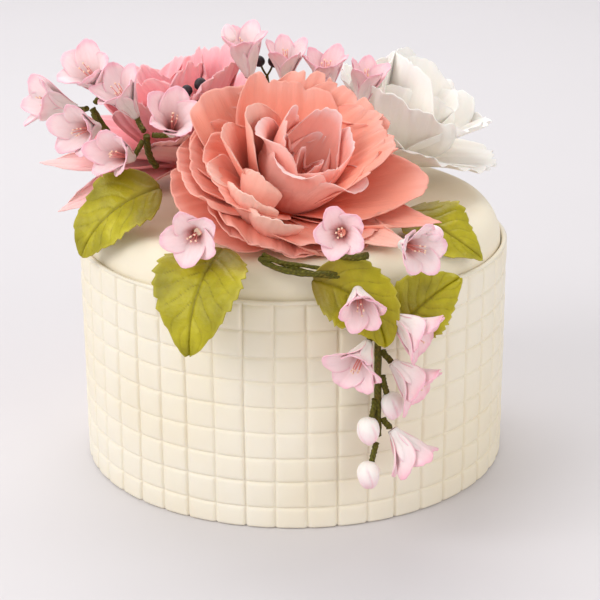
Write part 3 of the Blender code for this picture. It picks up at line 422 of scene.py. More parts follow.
def leaf(b, base, mid, tip, width, face, seed, mat=0, nu=84, nv=48, teeth=10, fold=0.14, sag=0.0, wave=1.5, veins=7, tooth=0.10,
         thick=0.9, curl=0.0, blunt=0.75, twist=0.0):
    """Toothed leaf: folded at the midrib, side veins pressed in, blade swelling between them."""
    base, mid, tip = (np.array(q, float) for q in (base, mid, tip))
    r = rng(seed * 19 + 7)
    ph = r.uniform(0, 6.28, 12)
    ctrl = 2 * mid - (base + tip) / 2
    u = np.linspace(0, 1, nu + 1)[:, None]
    v = np.linspace(-1, 1, nv + 1)[None, :]
    s = (1 - u) ** 2 * base + 2 * u * (1 - u) * ctrl + u ** 2 * tip
    d = 2 * (1 - u) * (ctrl - base) + 2 * u * (tip - ctrl)
    length = float(np.linalg.norm(np.diff(s, axis=0), axis=1).sum())
    d = d / np.linalg.norm(d, axis=1, keepdims=True)
    out = unit(face)
    side = np.cross(np.broadcast_to(out, d.shape), d)
    side = side / np.linalg.norm(side, axis=1, keepdims=True)
    nrm = np.cross(d, side)
    if twist:
        tw = np.radians(twist) * (u - 0.5)
        side, nrm = side * np.cos(tw) + nrm * np.sin(tw), nrm * np.cos(tw) - side * np.sin(tw)
    w0 = 0.09 + 0.97 * np.sin(np.pi * np.clip(u, 0, 1) ** blunt) ** 0.85 * (1 - 0.12 * u)
    w0 = w0 * np.clip(1 - (u - 0.9) / 0.1 * 0.75, 0.0, 1.0) ** 0.6 if False else w0
    w0 = np.where(u > 0.97, w0 * (1 - (u - 0.97) / 0.03 * 0.6), w0)
    saw = []
    for sg in (0, 1):
        x = (u ** 0.95) * teeth + ph[sg] / 6.28 + 0.35 * np.sin(5 * u + ph[2 + sg])
        f = x - np.floor(x)
        amp = tooth * (1 + 0.7 * np.sin(np.floor(x) * 2.4 + ph[4 + sg]))
        saw.append(amp * (f ** 1.3 - 0.55 - smooth01((f - 0.88) / 0.12)) * smooth01(u / 0.12))
    sv = np.where(v < 0, saw[0], saw[1])
    y = width / 2 * w0 * v * (1 + sv * smooth01((np.abs(v) - 0.72) / 0.28))
    # veins: q runs along the midrib, bending forwards towards the edge
    av = np.abs(v)
    q = (u - 0.30 * av ** 1.35 - 0.04 * np.sin(np.pi * av)) * veins + np.where(v < 0, 0.0, 0.45)
    q = q + 0.16 * np.sin(7.3 * u + ph[9]) + 0.12 * np.sin(5.1 * av + 9.0 * u + ph[10])
    fr = q - np.floor(q)
    dist = np.minimum(fr, 1 - fr)
    live = smooth01((0.93 - av) / 0.25) * smooth01((q + 0.2) / 0.8) * smooth01((veins - 1.2 - q) / 1.2)
    vein = np.exp(-(dist / 0.055) ** 2) * live * (0.6 + 0.4 * np.sin(2.7 * np.floor(q) + ph[11]))
    swell = np.sin(np.pi * fr) * (0.24 + 0.14 * np.sin(4.1 * np.floor(q) + ph[5])) * np.sin(np.pi * np.clip(av, 0, 1) ** 0.8) * smooth01(u / 0.1) * smooth01((1 - u) / 0.1)
    rib = np.exp(-(y / (0.55 + 0.5 * (1 - u))) ** 2)
    lift = fold * np.abs(y) - sag * (y / (width / 2)) ** 2 * width / 2
    lift = lift + wave * smooth01(av * 1.4) * (np.sin(9.0 * u + np.where(v < 0, ph[6], ph[7])) * 0.9 + 0.5 * np.sin(17 * u + ph[8])) * av ** 1.6
    lift = lift + swell - 0.5 * vein - 0.55 * rib + 0.25 * np.exp(-((np.abs(y) - 1.4) / 0.8) ** 2) * smooth01(u / 0.1)
    lift = lift + curl * u ** 3 * width
    p = s[:, None, :] + side[:, None, :] * y[..., None] + nrm[:, None, :] * lift[..., None]
    uv = np.stack([y / 10 + 5.1 * seed, u * length / 10 + 0 * y], -1)
    edge = smooth01((av - 0.9) / 0.1) + 0 * u
    sheet(b, p, uv, thick, 0.5, mat, along=u + 0 * v, edge=edge, vein=np.maximum(vein, rib * smooth01((0.985 - u) / 0.05)), side=0.5 + 0.5 * v + 0 * u, tone=r.uniform(0.35, 0.65) + 0 * y)


# =============================================================== materials
def lin(r, g, b):
    f = lambda c: c / 12.92 if c <= 0.04045 else ((c + 0.055) / 1.055) ** 2.4
    return (f(r / 255), f(g / 255), f(b / 255), 1.0)


class Mat:
    """Small builder for a Principled material."""

    def __init__(self, name, rough=0.6, spec=0.3, sss=0.0, radius=(1.0, 0.5, 0.3), scale=0.002, sheen=0.0, coat=0.0):
        self.m = bpy.data.materials.new(name)
        self.m.use_nodes = True
        self.t = self.m.node_tree
        self.b = next(n for n in self.t.nodes if n.type == "BSDF_PRINCIPLED")
        s = self.b.inputs
        s["Roughness"].default_value = rough
        s["Specular IOR Level"].default_value = spec
        s["Subsurface Weight"].default_value = sss
        s["Subsurface Radius"].default_value = radius
        s["Subsurface Scale"].default_value = scale
        s["Sheen Weight"].default_value = sheen
        s["Sheen Roughness"].default_value = 0.4
        s["Coat Weight"].default_value = coat
        s["Coat Roughness"].default_value = 0.35

    def node(self, kind, **sets):
        n = self.t.nodes.new("ShaderNode" + kind)
        for k, v in sets.items():
            setattr(n, k, v)
        return n

    def put(self, sock, val):
        if isinstance(val, bpy.types.NodeSocket):
            self.t.links.new(val, sock)
        else:
            sock.default_value = val

    def attr(self, name):
        return self.node("Attribute", attribute_name=name).outputs["Fac"]

    def math(self, op, a, b=0.0, c=0.0, clamp=False):
        n = self.node("Math", operation=op, use_clamp=clamp)
        for s, v in zip(n.inputs, (a, b, c)):
            self.put(s, v)
        return n.outputs[0]

    def mix(self, fac, a, b, blend="MIX"):
        n = self.node("Mix", data_type="RGBA", blend_type=blend)
        self.put(n.inputs[0], fac)
        self.put(n.inputs[6], a)
        self.put(n.inputs[7], b)
        return n.outputs[2]

    def coords(self, kind="Object", scale=(1, 1, 1)):
        if kind == "UV":
            src = self.node("UVMap", uv_map="Surface").outputs[0]
        else:
            src = self.node("TexCoord").outputs[kind]
        n = self.node("Mapping")
        self.put(n.inputs[0], src)
        n.inputs["Scale"].default_value = scale
        return n.outputs[0]

    def noise(self, vec, scale, detail=3.0, rough=0.55, dist=0.0):
        n = self.node("TexNoise")
        self.put(n.inputs["Vector"], vec)
        n.inputs["Scale"].default_value = scale
        n.inputs["Detail"].default_value = detail
        n.inputs["Roughness"].default_value = rough
        n.inputs["Distortion"].default_value = dist
        return n.outputs[0]

    def ramp(self, fac, stops, smooth=False):
        n = self.node("ValToRGB")
        e = n.color_ramp.elements
        n.color_ramp.interpolation = "EASE" if smooth else "LINEAR"
        while len(e) < len(stops):
            e.new(0.5)
        for el, (p, c) in zip(e, stops):
            el.position = p
        for el, (p, c) in zip(n.color_ramp.elements, stops):
            el.color = c if len(c) == 4 else (*c, 1)
        self.put(n.inputs[0], fac)
        return n.outputs[0]

    def grey(self, fac, lo, hi):
        """Maps lo..hi to 0..1, clamped."""
        n = self.node("MapRange", clamp=True)
        self.put(n.inputs[0], fac)
        n.inputs[1].default_value = lo
        n.inputs[2].default_value = hi
        return n.outputs[0]

    def bump(self, height, strength, dist, under=None):
        n = self.node("Bump")
        n.inputs["Strength"].default_value = strength
        n.inputs["Distance"].default_value = dist
        self.put(n.inputs["Height"], height)
        if under is not None:
            self.put(n.inputs["Normal"], under)
        return n.outputs[0]

    def finish(self, colour, normal=None, rough=None):
        self.put(self.b.inputs["Base Color"], colour)
        if normal is not None:
            self.put(self.b.inputs["Normal"], normal)
        if rough is not None:
            self.put(self.b.inputs["Roughness"], rough)
        return self.m


def fondant(name, base, warm, tex=1.0):
    k = Mat(name, rough=0.55, spec=0.28, sss=0.12, radius=(1.0, 0.8, 0.5), scale=0.004)
    o = k.coords("Object")
    big = k.noise(o, 16.0, 2.0)
    mid = k.noise(o, 120.0, 4.0, 0.6)
    fine = k.noise(o, 900.0, 3.0, 0.7)
    c = k.mix(k.grey(big, 0.35, 0.68), base, warm)
    c = k.mix(k.math("MULTIPLY", k.grey(mid, 0.45, 0.75), 0.16), c, tuple(0.93 * x for x in warm[:3]) + (1,))
    n = k.bump(mid, 0.16 * tex, 0.0009)
    n = k.bump(fine, 0.10 * tex, 0.00025, n)
    r = k.math("MULTIPLY_ADD", fine, 0.16, 0.47)
    return k.finish(c, n, r)


def petal_mat(name, deep, low, mid, tip, edge, pale, vein, streak=0.10, back=None, sss=0.16, rough=0.62, tonal=0.10, edge_amt=0.55):
    k = Mat(name, rough=rough, spec=0.22, sss=sss, radius=(1.0, 0.45, 0.32), scale=0.0022, sheen=0.06)
    uv = k.coords("UV", (1.0, 0.16, 1.0))
    uv2 = k.coords("UV", (1.0, 1.0, 1.0))
    fib = k.noise(uv, 5.5, 4.0, 0.62, 0.2)
    fibf = k.noise(uv, 17.0, 3.0, 0.6, 0.1)
    blot = k.noise(uv2, 1.1, 3.0, 0.55)
    grain = k.noise(uv2, 32.0, 3.0, 0.65)
    al = k.math("ADD", k.attr("along"), k.math("MULTIPLY_ADD", fib, 0.22, -0.11))
    al = k.math("ADD", al, k.math("MULTIPLY_ADD", blot, 0.24, -0.12))
    c = k.ramp(al, [(0.02, deep), (0.20, low), (0.52, mid), (0.95, tip)])
    tone = k.attr("tone")
    c = k.mix(k.math("MULTIPLY", tone, 1.0), c, k.mix(1.0, c, tuple(1 + tonal * q for q in (0.6, 1.2, 1.6)) + (1,), "MULTIPLY"))
    c = k.mix(k.math("MULTIPLY", k.grey(fib, 0.42, 0.80), streak), c, vein)
    c = k.mix(k.math("MULTIPLY", k.grey(fibf, 0.5, 0.85), streak * 0.8), c, vein)
    ed = k.math("MULTIPLY", k.attr("edge"), k.math("MULTIPLY_ADD", blot, 0.8, edge_amt - 0.4), clamp=True)
    c = k.mix(ed, c, edge)
    pc = k.ramp(al, [(0.0, low), (0.14, mid), (0.34, pale), (1.0, tuple(min(1.0, 1.03 * x) for x in pale[:3]) + (1,))])
    c = k.mix(k.attr("pale"), c, pc)
    if back is not None:
        c = k.mix(k.math("MULTIPLY", k.attr("back"), 0.55), c, back)
    n = k.bump(fib, 0.32, 0.0010)
    n = k.bump(fibf, 0.22, 0.0005, n)
    n = k.bump(grain, 0.12, 0.0002, n)
    return k.finish(c, n, k.math("MULTIPLY_ADD", grain, 0.2, rough - 0.12))


def blossom_mat(name):
    k = Mat(name, rough=0.5, spec=0.3, sss=0.2, radius=(1.0, 0.55, 0.5), scale=0.002, sheen=0.05)
    uv = k.coords("UV", (1.0, 0.22, 1.0))
    uv2 = k.coords("UV", (1.0, 1.0, 1.0))
    fib = k.noise(uv, 7.0, 4.0, 0.6, 0.2)
    blot = k.noise(uv2, 1.6, 3.0, 0.55)
    grain = k.noise(uv2, 40.0, 3.0, 0.65)
    al = k.math("ADD", k.attr("along"), k.math("MULTIPLY_ADD", blot, 0.26, -0.13))
    tone = k.attr("tone")
    inner = k.ramp(al, [(0.05, lin(190, 120, 108)), (0.24, lin(242, 194, 191)), (0.50, lin(253, 234, 233)), (1.0, lin(253, 222, 226))])
    outer = k.ramp(al, [(0.05, lin(251, 247, 240)), (0.40, lin(252, 244, 239)), (0.72, lin(251, 228, 230)), (1.0, lin(250, 208, 216))])
    c = k.mix(k.attr("back"), inner, outer)
    deep = k.mix(1.0, c, lin(255, 236, 239), "MULTIPLY")
    c = k.mix(k.grey(tone, 0.45, 1.0), c, deep)
    light = k.mix(0.55, c, lin(251, 240, 238))
    c = k.mix(k.grey(tone, 0.45, 0.0), c, light)
    ed = k.math("MULTIPLY", k.attr("edge"), k.math("MULTIPLY_ADD", blot, 0.9, 0.10), clamp=True)
    c = k.mix(ed, c, lin(249, 174, 196))
    c = k.mix(k.math("MULTIPLY", k.grey(fib, 0.5, 0.85), 0.16), c, lin(226, 146, 158))
    n = k.bump(fib, 0.25, 0.0007)
    n = k.bump(grain, 0.10, 0.0002, n)
    return k.finish(c, n, k.math("MULTIPLY_ADD", grain, 0.2, 0.42))


def leaf_mat(name):
    k = Mat(name, rough=0.45, spec=0.38, sss=0.05, radius=(0.6, 0.8, 0.2), scale=0.0015)
    uv = k.coords("UV", (1.0, 1.0, 1.0))
    blot = k.noise(uv, 0.55, 3.0, 0.5)
    mid = k.noise(uv, 3.2, 4.0, 0.6)
    grain = k.noise(uv, 26.0, 3.0, 0.6)
    c = k.ramp(blot, [(0.30, lin(136, 126, 3)), (0.45, lin(160, 150, 6)), (0.60, lin(182, 171, 18)), (0.76, lin(210, 199, 58))])
    # painted shade: olive-brown blotches stand in for the leaf's shading, laid at random by the mid-scale noise
    c = k.mix(k.math("MULTIPLY", k.grey(mid, 0.5, 0.8), 0.35), c, lin(142, 116, 12))
    # painted shade: the blade goes darker olive-brown towards its base, which lies in the shade under the flowers
    along = k.attr("along")
    c = k.mix(k.grey(along, 0.38, 0.0), c, lin(122, 100, 8))
    c = k.mix(k.math("MULTIPLY", k.attr("edge"), 0.35), c, lin(212, 198, 84))
    c = k.mix(k.math("MULTIPLY", k.attr("vein"), 0.62), c, lin(112, 98, 6))
    c = k.mix(k.math("MULTIPLY", k.attr("back"), 0.6), c, lin(176, 168, 76))
    n = k.bump(blot, 0.45, 0.0030)
    n = k.bump(mid, 0.45, 0.0014, n)
    n = k.bump(grain, 0.14, 0.0003, n)
    return k.finish(c, n, k.math("MULTIPLY_ADD", grain, 0.22, 0.32))


def tape_mat(name):
    k = Mat(name, rough=0.6, spec=0.3)
    uv = k.coords("UV", (1.0, 1.0, 1.0))
    sk = k.node("TexWave", wave_type="BANDS", bands_direction="DIAGONAL")
    k.put(sk.inputs["Vector"], uv)
    sk.inputs["Scale"].default_value = 3.4
    sk.inputs["Distortion"].default_value = 2.2
    n1 = k.noise(uv, 9.0, 4.0, 0.6)
    n2 = k.noise(uv, 1.4, 2.0, 0.5)
    c = k.ramp(n1, [(0.3, lin(62, 58, 6)), (0.55, lin(96, 92, 14)), (0.75, lin(128, 124, 34))])
    c = k.mix(k.grey(n2, 0.5, 0.75), c, lin(112, 84, 28))
    # painted shade: dark olive laid into the low bands of the spiral wrap, the same grooves that the bump below presses
    # in
    c = k.mix(k.math("MULTIPLY", k.grey(sk.outputs[1], 0.35, 0.0), 0.35), c, lin(58, 50, 8))
    n = k.bump(sk.outputs[1], 0.5, 0.0006)
    n = k.bump(n1, 0.3, 0.0005, n)
    return k.finish(c, n)


def plain(name, a, b, scale=300.0, rough=0.5, spec=0.35, bump=0.12, sss=0.0, sheen=0.0, coat=0.0):
    k = Mat(name, rough=rough, spec=spec, sss=sss, sheen=sheen, coat=coat)
    o = k.coords("Object")
    n1 = k.noise(o, scale, 4.0, 0.6)
    n2 = k.noise(o, scale * 5, 3.0, 0.6)
    c = k.mix(k.grey(n1, 0.35, 0.7), a, b)
    n = k.bump(n1, bump, 0.0006)
    n = k.bump(n2, bump * 0.7, 0.0002, n)
    return k.finish(c, n, k.math("MULTIPLY_ADD", n2, 0.2, rough - 0.1))


M_CAKE = fondant("cake_fondant", lin(245, 236, 215), lin(242, 230, 205))
M_BAND = fondant("band_fondant", lin(243, 235, 218), lin(240, 229, 206), 0.8)
M_CORAL = petal_mat("coral_petals", lin(180, 50, 20), lin(224, 106, 74), lin(245, 152, 128), lin(242, 162, 142), lin(247, 180, 168),
                    lin(254, 224, 212), lin(216, 102, 76), back=lin(242, 162, 140))
M_BUD = petal_mat("coral_bud_petals", lin(184, 66, 38), lin(234, 120, 94), lin(251, 168, 150), lin(249, 176, 162), lin(254, 212, 210),
                  lin(254, 212, 206), lin(226, 118, 98), back=lin(247, 172, 156), edge_amt=0.95)
M_PINK = petal_mat("pink_petals", lin(222, 108, 98), lin(248, 152, 150), lin(253, 180, 182), lin(252, 180, 186), lin(253, 200, 204),
                   lin(253, 216, 210), lin(232, 124, 134), back=lin(251, 184, 184))
M_WHITE = petal_mat("white_petals", lin(242, 224, 196), lin(253, 244, 230), lin(254, 247, 238), lin(254, 250, 244), lin(254, 251, 246),
                    lin(253, 246, 234), lin(242, 228, 202), streak=0.10, sss=0.12, tonal=0.02)
M_BLOSSOM = blossom_mat("blossom_petals")
M_STAMEN = plain("stamen_thread", lin(238, 168, 158), lin(226, 138, 132), 400.0, sss=0.1)
M_TIP = plain("stamen_tip", lin(252, 224, 196), lin(244, 196, 168), 700.0, sss=0.1)
M_LEAF = leaf_mat("leaf_green")
M_TAPE = tape_mat("stem_tape")
M_BERRY = plain("berry_skin", lin(30, 20, 26), lin(52, 40, 46), 500.0, rough=0.5, spec=0.4, bump=0.2, sheen=0.1)


# =============================================================== places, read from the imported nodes
def node_box(name):
    lo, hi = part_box(name)
    return np.array(lo) / MM, np.array(hi) / MM


def at(name, fx, fy, fz):
    """A point at shares of a node's box: 0 is its lowest corner, 1 its highest."""
    lo, hi = node_box(name)
    return lo + (hi - lo) * np.array([fx, fy, fz])


def heading(turn, rise):
    """Unit vector that looks turn degrees round from the front and rise degrees up."""
    t, r = math.radians(turn), math.radians(rise)
    return np.array([math.cos(r) * math.sin(t), -math.cos(r) * math.cos(t), math.sin(r)])


def corners(name):
    """A node's points, each once."""
    co = np.array([v.co[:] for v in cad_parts[name].data.vertices]) / MM
    return np.unique(np.round(co, 2), axis=0)


def trumpet(name):
    """A blossom's foot, axis, depth, face radius and the turn of its lobes, read from its node."""
    co = corners(name)
    gap = np.linalg.norm(co[:, None] - co[None], axis=-1)
    crowd = (gap < 3.2).sum(1)
    foot = co[crowd >= 9].mean(0)
    axis = unit(co.mean(0) - foot)
    rel = co - foot
    along = rel @ axis
    wide = np.linalg.norm(rel - along[:, None] * axis, axis=1)
    m = axes(axis)
    k = int(wide.argmax())
    turn = math.degrees(math.atan2(rel[k] @ m[:, 1], rel[k] @ m[:, 0])) % 72
    return foot, axis, float(along.max()), float(wide.max()), turn


def far_ends(co):
    gap = np.linalg.norm(co[:, None] - co[None], axis=-1)
    i, j = np.unravel_index(int(gap.argmax()), gap.shape)
    return co[i], co[j]


def wire_line(name, steps=6):
    """Centre line and radius of a stem, from slices across its node."""
    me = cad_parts[name].data
    co = np.array([v.co[:] for v in me.vertices]) / MM
    ends = far_ends(np.unique(np.round(co, 2), axis=0))
    axis = unit(ends[1] - ends[0])
    h = (co - ends[0]) @ axis
    length = float(h.max())
    e = np.array([q.vertices[:] for q in me.edges])
    line, radii = [], []
    for f in np.linspace(0.07, 0.93, steps):
        cut = f * length
        a, c = h[e[:, 0]] - cut, h[e[:, 1]] - cut
        hit = a * c < 0
        t = (a[hit] / (a[hit] - c[hit]))[:, None]
        q = co[e[hit, 0]] * (1 - t) + co[e[hit, 1]] * t
        if len(q) < 3:
            continue
        mid = (q.min(0) + q.max(0)) / 2
        line.append(mid)
        radii.append(float(np.linalg.norm(q - mid, axis=1).max()))
    line = np.array(line)
    line = np.concatenate([[line[0] - (line[1] - line[0]) * 0.35], line, [line[-1] + (line[-1] - line[-2]) * 0.35]])
    return line, float(np.median(radii))


def long_bud(name):
    """Centre, radius, half length and tip direction of a bud, from its node; the tip looks away from the flowers."""
    co = corners(name)
    a, c = far_ends(co)
    axis = unit(c - a)
    mid = (a + c) / 2
    if axis @ (mid - np.array([0.0, 0.0, TOP])) < 0:
        axis = -axis
    rel = co - mid
    wide = np.linalg.norm(rel - (rel @ axis)[:, None] * axis, axis=1)
    return mid, float(wide.max()) * 0.96, float(np.linalg.norm(c - a)) / 2, axis


def grid_lines():
    """Row heights, number of columns and turn of the band's grid, from the grooves in its node."""
    co = corners("grid_band")
    r = np.hypot(co[:, 0], co[:, 1])
    low = r[(r > R_BAND - 2.0) & (r < R_BAND - 0.5)]
    groove = co[np.abs(r - low.min()) < 0.08]
    rows = sorted({round(float(z), 1) for z in groove[:, 2]})
    base = groove[np.abs(groove[:, 2] - rows[0]) < 0.06]
    th = sorted({round(float(q), 3) for q in np.arctan2(base[:, 0], -base[:, 1]) % (2 * np.pi)})
    return rows, len(th), th[0]


# =============================================================== cake and band
R_BAND = float(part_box("grid_band")[1][0]) / MM
H_BAND = float(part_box("grid_band")[1][2]) / MM
TOP = float(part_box("cake_body")[1][2]) / MM
R_CAKE = float(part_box("cake_body")[1][0]) / MM
ROWS, COLUMNS, PHASE = grid_lines()


def add_piece(b, name, mats, slot, *nodes):
    ob = b.object(name, mats)
    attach(ob, "root")
    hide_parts(*nodes)
    return ob


def cake():
    b = Build()
    n = 288
    prof = [(0.0, 0.0), (40, 0.0), (80, 0.0), (R_CAKE - 1.6, 0.0), (R_CAKE - 0.5, 0.5), (R_CAKE - 0.1, 1.6)]
    prof += [(R_CAKE, z) for z in np.linspace(4, 103, 34)]
    shoulder = np.linspace(0, 1, 30)
    z0, rt = 104.0, 12.5
    for s in shoulder:
        a = s * math.pi / 2
        prof.append((R_CAKE - rt * (1 - math.cos(a) ** 0.86), z0 + (TOP - 0.9 - z0) * math.sin(a) ** 0.92))
    r_in = R_CAKE - rt
    for r in np.linspace(r_in - 1.5, 0, 40):
        prof.append((max(r, 0.0), TOP - 0.9 + 0.9 * (1 - (r / r_in) ** 2)))
    prof = np.array(prof)
    th = np.linspace(0, 2 * np.pi, n, endpoint=False)[None, :]
    r, z = prof[:, :1], prof[:, 1:]
    w = smooth01((z - 100) / 12)
    wob = (0.35 * np.sin(2 * th + 0.6) + 0.22 * np.sin(3 * th + 2.0) + 0.16 * np.sin(7 * th + z * 0.05) + 0.10 * np.sin(13 * th + 1.1 + z * 0.11))
    rr = r + np.where(r > 60, (wob - 0.5) * (0.35 + 0.65 * w), 0) * (r > 1)
    zz = z + np.where(z > 110, 0.25 * np.sin(2 * th + 1.0) * (r / 90) + 0.18 * np.sin(4 * th + r * 0.06) * (r / 90) - 0.3, 0)
    p = np.stack([rr * np.sin(th), -rr * np.cos(th), zz + 0 * th], -1)
    keep = slice(1, len(prof) - 1)
    q = p[keep]
    rows = len(q)
    arc = np.concatenate([[0], np.cumsum(np.linalg.norm(np.diff(prof[keep], axis=0), axis=1))])[:, None]
    uv = np.stack([th * 9.7 + 0 * arc, arc / 10 + 0 * th], -1).reshape(-1, 2)
    verts = np.concatenate([q.reshape(-1, 3), [[0, 0, 0], [0, 0, TOP - 0.3]]])
    uv = np.concatenate([uv, np.zeros((2, 2))])
    j = np.arange(n)
    j2 = (j + 1) % n
    Mx = rows * n
    tri = np.concatenate([np.stack([np.full(n, Mx), j2, j], -1), np.stack([np.full(n, Mx + 1), (rows - 1) * n + j, (rows - 1) * n + j2], -1)])
    f = np.concatenate([grid_quads(rows - 1, n, True)[:, ::-1], np.concatenate([tri, np.full((len(tri), 1), -1)], 1)])
    if not check_out(verts, f, 0):
        f = flip(f, 0)
    b_add_raw(b, verts, f, uv, 0, along=0.5)
    return add_piece(b, "cake", [M_CAKE], "cake_fondant", "cake_body")


def band():
    b = Build()
    r = rng(4)
    fr = [0, .02, .045, .075, .115, .19, .34, .5, .66, .81, .885, .925, .955, .98]
    cols = np.array([c + f for c in range(COLUMNS) for f in fr])
    step = 2 * np.pi / COLUMNS
    th = (PHASE + cols * step)[None, :]
    zs, rowf, rowi = [], [], []
    fz = [0, .02, .05, .09, .15, .28, .5, .72, .85, .91, .95, .98]
    for i in range(len(ROWS) - 1):
        for f in fz:
            zs.append(ROWS[i] + f * (ROWS[i + 1] - ROWS[i]))
    zs += [ROWS[-1], ROWS[-1] + 0.3, ROWS[-1] + 0.7, H_BAND - 0.15, H_BAND]
    z = np.array(zs)[:, None]
    # groove lines wander a little from their ruled place
    jit = r.uniform(-0.30, 0.30, COLUMNS)
    slope = r.uniform(-0.004, 0.004, COLUMNS)
    ph = r.uniform(0, 6.28, COLUMNS)
    best = np.full((len(zs), len(cols)), 99.0)
    own = np.zeros((len(zs), len(cols)))
    for c in range(COLUMNS):
        d = (th - (PHASE + c * step) + np.pi) % (2 * np.pi) - np.pi
        mm = d * R_BAND - (jit[c] + slope[c] * (z - 50) + 0.14 * np.sin(z * 0.07 + ph[c]))
        near = np.abs(mm) < best
        own = np.where(near, r.uniform(0.75, 1.2), own)
        best = np.where(near, np.abs(mm), best)
    vg = best
    hb = np.full_like(best, 99.0)
    hown = np.ones_like(best)
    for i, line in enumerate(ROWS[1:]):
        p1, p2 = r.uniform(0, 6.28, 2)
        y = np.abs(z - line - 0.22 * np.sin(th * 3 + p1) - 0.12 * np.sin(th * 11 + p2))
        hown = np.where(y < hb, r.uniform(0.75, 1.15), hown)
        hb = np.minimum(hb, y)
    cellc = np.floor(cols).astype(int)[None, :]
    rowc = np.clip(np.searchsorted(ROWS, z[:, 0], side="right") - 1, 0, len(ROWS) - 2)[:, None]
    tilt = rng(9).uniform(-1, 1, (len(ROWS), COLUMNS, 4))
    fu = (cols - np.floor(cols))[None, :] - 0.5
    lo = np.array(ROWS)[rowc]
    hi = np.array(ROWS)[np.clip(rowc + 1, 0, len(ROWS) - 1)]
    fv = np.clip((z - lo) / (hi - lo), 0, 1) - 0.5
    t = tilt[rowc, cellc]
    pad = 0.10 * t[..., 0] + 0.16 * t[..., 1] * fu * 2 + 0.12 * t[..., 2] * fv * 2
    mask = smooth01((0.5 - np.abs(fu)) / 0.16) * smooth01((0.5 - np.abs(fv)) / 0.16)
    crown = 0.26 * (1 - (2 * fu) ** 2) * (1 - (2 * fv) ** 2)
    vdep = 1.00 * own * np.exp(-(vg / 0.62) ** 2)
    hdep = 0.78 * hown * np.exp(-(hb / 0.50) ** 2)
    soft = 0.22 * np.exp(-(vg / 1.6) ** 2) + 0.18 * np.exp(-(hb / 1.4) ** 2)
    r0 = R_BAND - 0.35
    rad = r0 + mask * pad + crown - np.maximum(vdep, hdep) - 0.35 * np.minimum(vdep, hdep) - soft
    swell = 0.35 * np.sin(2 * th + 1.2) + 0.22 * np.sin(5 * th + 0.4 + z * 0.02) - 0.3
    lipz = smooth01((z - ROWS[-1] - 0.1) / 0.5)
    rad = rad * (1 - lipz) + (R_BAND - 0.25 + 0.15 * np.sin(9 * th)) * lipz
    rad = rad + swell * (0.35 + 0.2 * (z / H_BAND))
    rad = np.minimum(rad, R_BAND + 0.25)
    rad = rad - 1.2 * smooth01((1.2 - z) / 1.2) ** 2 - 0.7 * smooth01((z - H_BAND + 0.9) / 0.9) ** 2
    zt = z + 0.22 * np.sin(2 * th + 0.4) * (z / H_BAND) + 0.10 * np.sin(17 * th) * lipz
    zt = np.maximum(zt, 0.0)
    outer = np.stack([rad * np.sin(th), -rad * np.cos(th), zt + 0 * th], -1)
    ri = float(np.hypot(*corners("grid_band")[:, :2].T).min())
    nz = len(zs)
    inner = []
    topz = zt[-1] - 0.1
    for k, (rr, zz) in enumerate([(ri + 0.9, topz + 0.15), (ri + 0.25, topz - 0.1), (ri, topz - 0.8), (ri, topz * 0.5), (ri, 0 * topz)]):
        inner.append(np.stack([rr * np.sin(th[0]), -rr * np.cos(th[0]), zz + 0 * th[0]], -1))
    p = np.concatenate([outer, np.array(inner), outer[:1]])[:-1]
    rows, n = p.shape[:2]
    i, j = np.meshgrid(np.arange(rows), np.arange(n), indexing="ij")
    i2, j2 = (i + 1) % rows, (j + 1) % n
    f = np.stack([i * n + j, i * n + j2, i2 * n + j2, i2 * n + j], -1).reshape(-1, 4)
    vv = p.reshape(-1, 3)
    if not check_out(vv, f, 0):
        f = f[:, ::-1]
    uvr = np.concatenate([z[:, 0], z[-1, 0] + np.arange(1, rows - nz + 1)])
    uv = np.stack(np.broadcast_arrays(th * 10, uvr[:, None] / 10), -1).reshape(-1, 2)
    b_add_raw(b, vv, f, uv, 0, along=0.5)
    return add_piece(b, "band", [M_BAND], "band_fondant", "grid_band")


cake()
band()


# =============================================================== flowers
def flower(name, node, foot, lean, towards, nominal, rows, mats, slot, heart):
    """Petals on a foot set at shares of the node's box, sized by the box's width."""
    lo, hi = node_box(node)
    origin = at(node, *foot)
    scale = float(hi[0] - lo[0]) / nominal
    m = axes(heading(towards, 90 - lean))
    b = Build()
    for i, g in enumerate(rows):
        g = dict(g)
        g.setdefault("seed", i + 1)
        g.setdefault("tone", float(rng(i * 3 + 1).uniform(0.2, 0.8)))
        g["L"], g["W"] = g["L"] * scale, g["W"] * scale
        petal(b, origin, m, **g)
    if heart:
        core(b, origin, m, *heart)
    return add_piece(b, name, mats, slot, node)


def P(phi, a0, a1, L, W, **kw):
    d = dict(phi=phi, a0=a0, a1=a1, L=L, W=W)
    d.update(kw)
    return d


def ring(count, first, opening, ahead, tip, length, width, distance, seed, arc=360.0, turn=0.0, shorter=0.0, **kw):
    """Petals set evenly round a flower, or along an arc of it, no two alike.

    opening: degrees from the flower's axis; ahead: how much wider the front petals open;
    tip: how much further a petal opens at its tip; shorter: how much shorter the front petals are.
    """
    r = rng(seed)
    rows = []
    steps = count if arc >= 360 else max(count - 1, 1)
    for k in range(count):
        phi = first + arc * (k + r.uniform(-0.13, 0.13)) / steps
        front = math.cos(math.radians(phi))
        a = opening + ahead * front + r.uniform(-3.0, 3.0)
        rows.append(P(phi, a - 0.5 * tip, a + 0.5 * tip, length * r.uniform(0.94, 1.05) * (1 - shorter * front), width * r.uniform(0.93, 1.07),
                      r0=distance, twist=turn * math.sin(math.radians(phi)), slant=r.uniform(-0.07, 0.07), bend=r.uniform(-0.05, 0.05),
                      seed=seed * 31 + k, tone=float(r.uniform(0.15, 0.85)), **kw))
    return rows


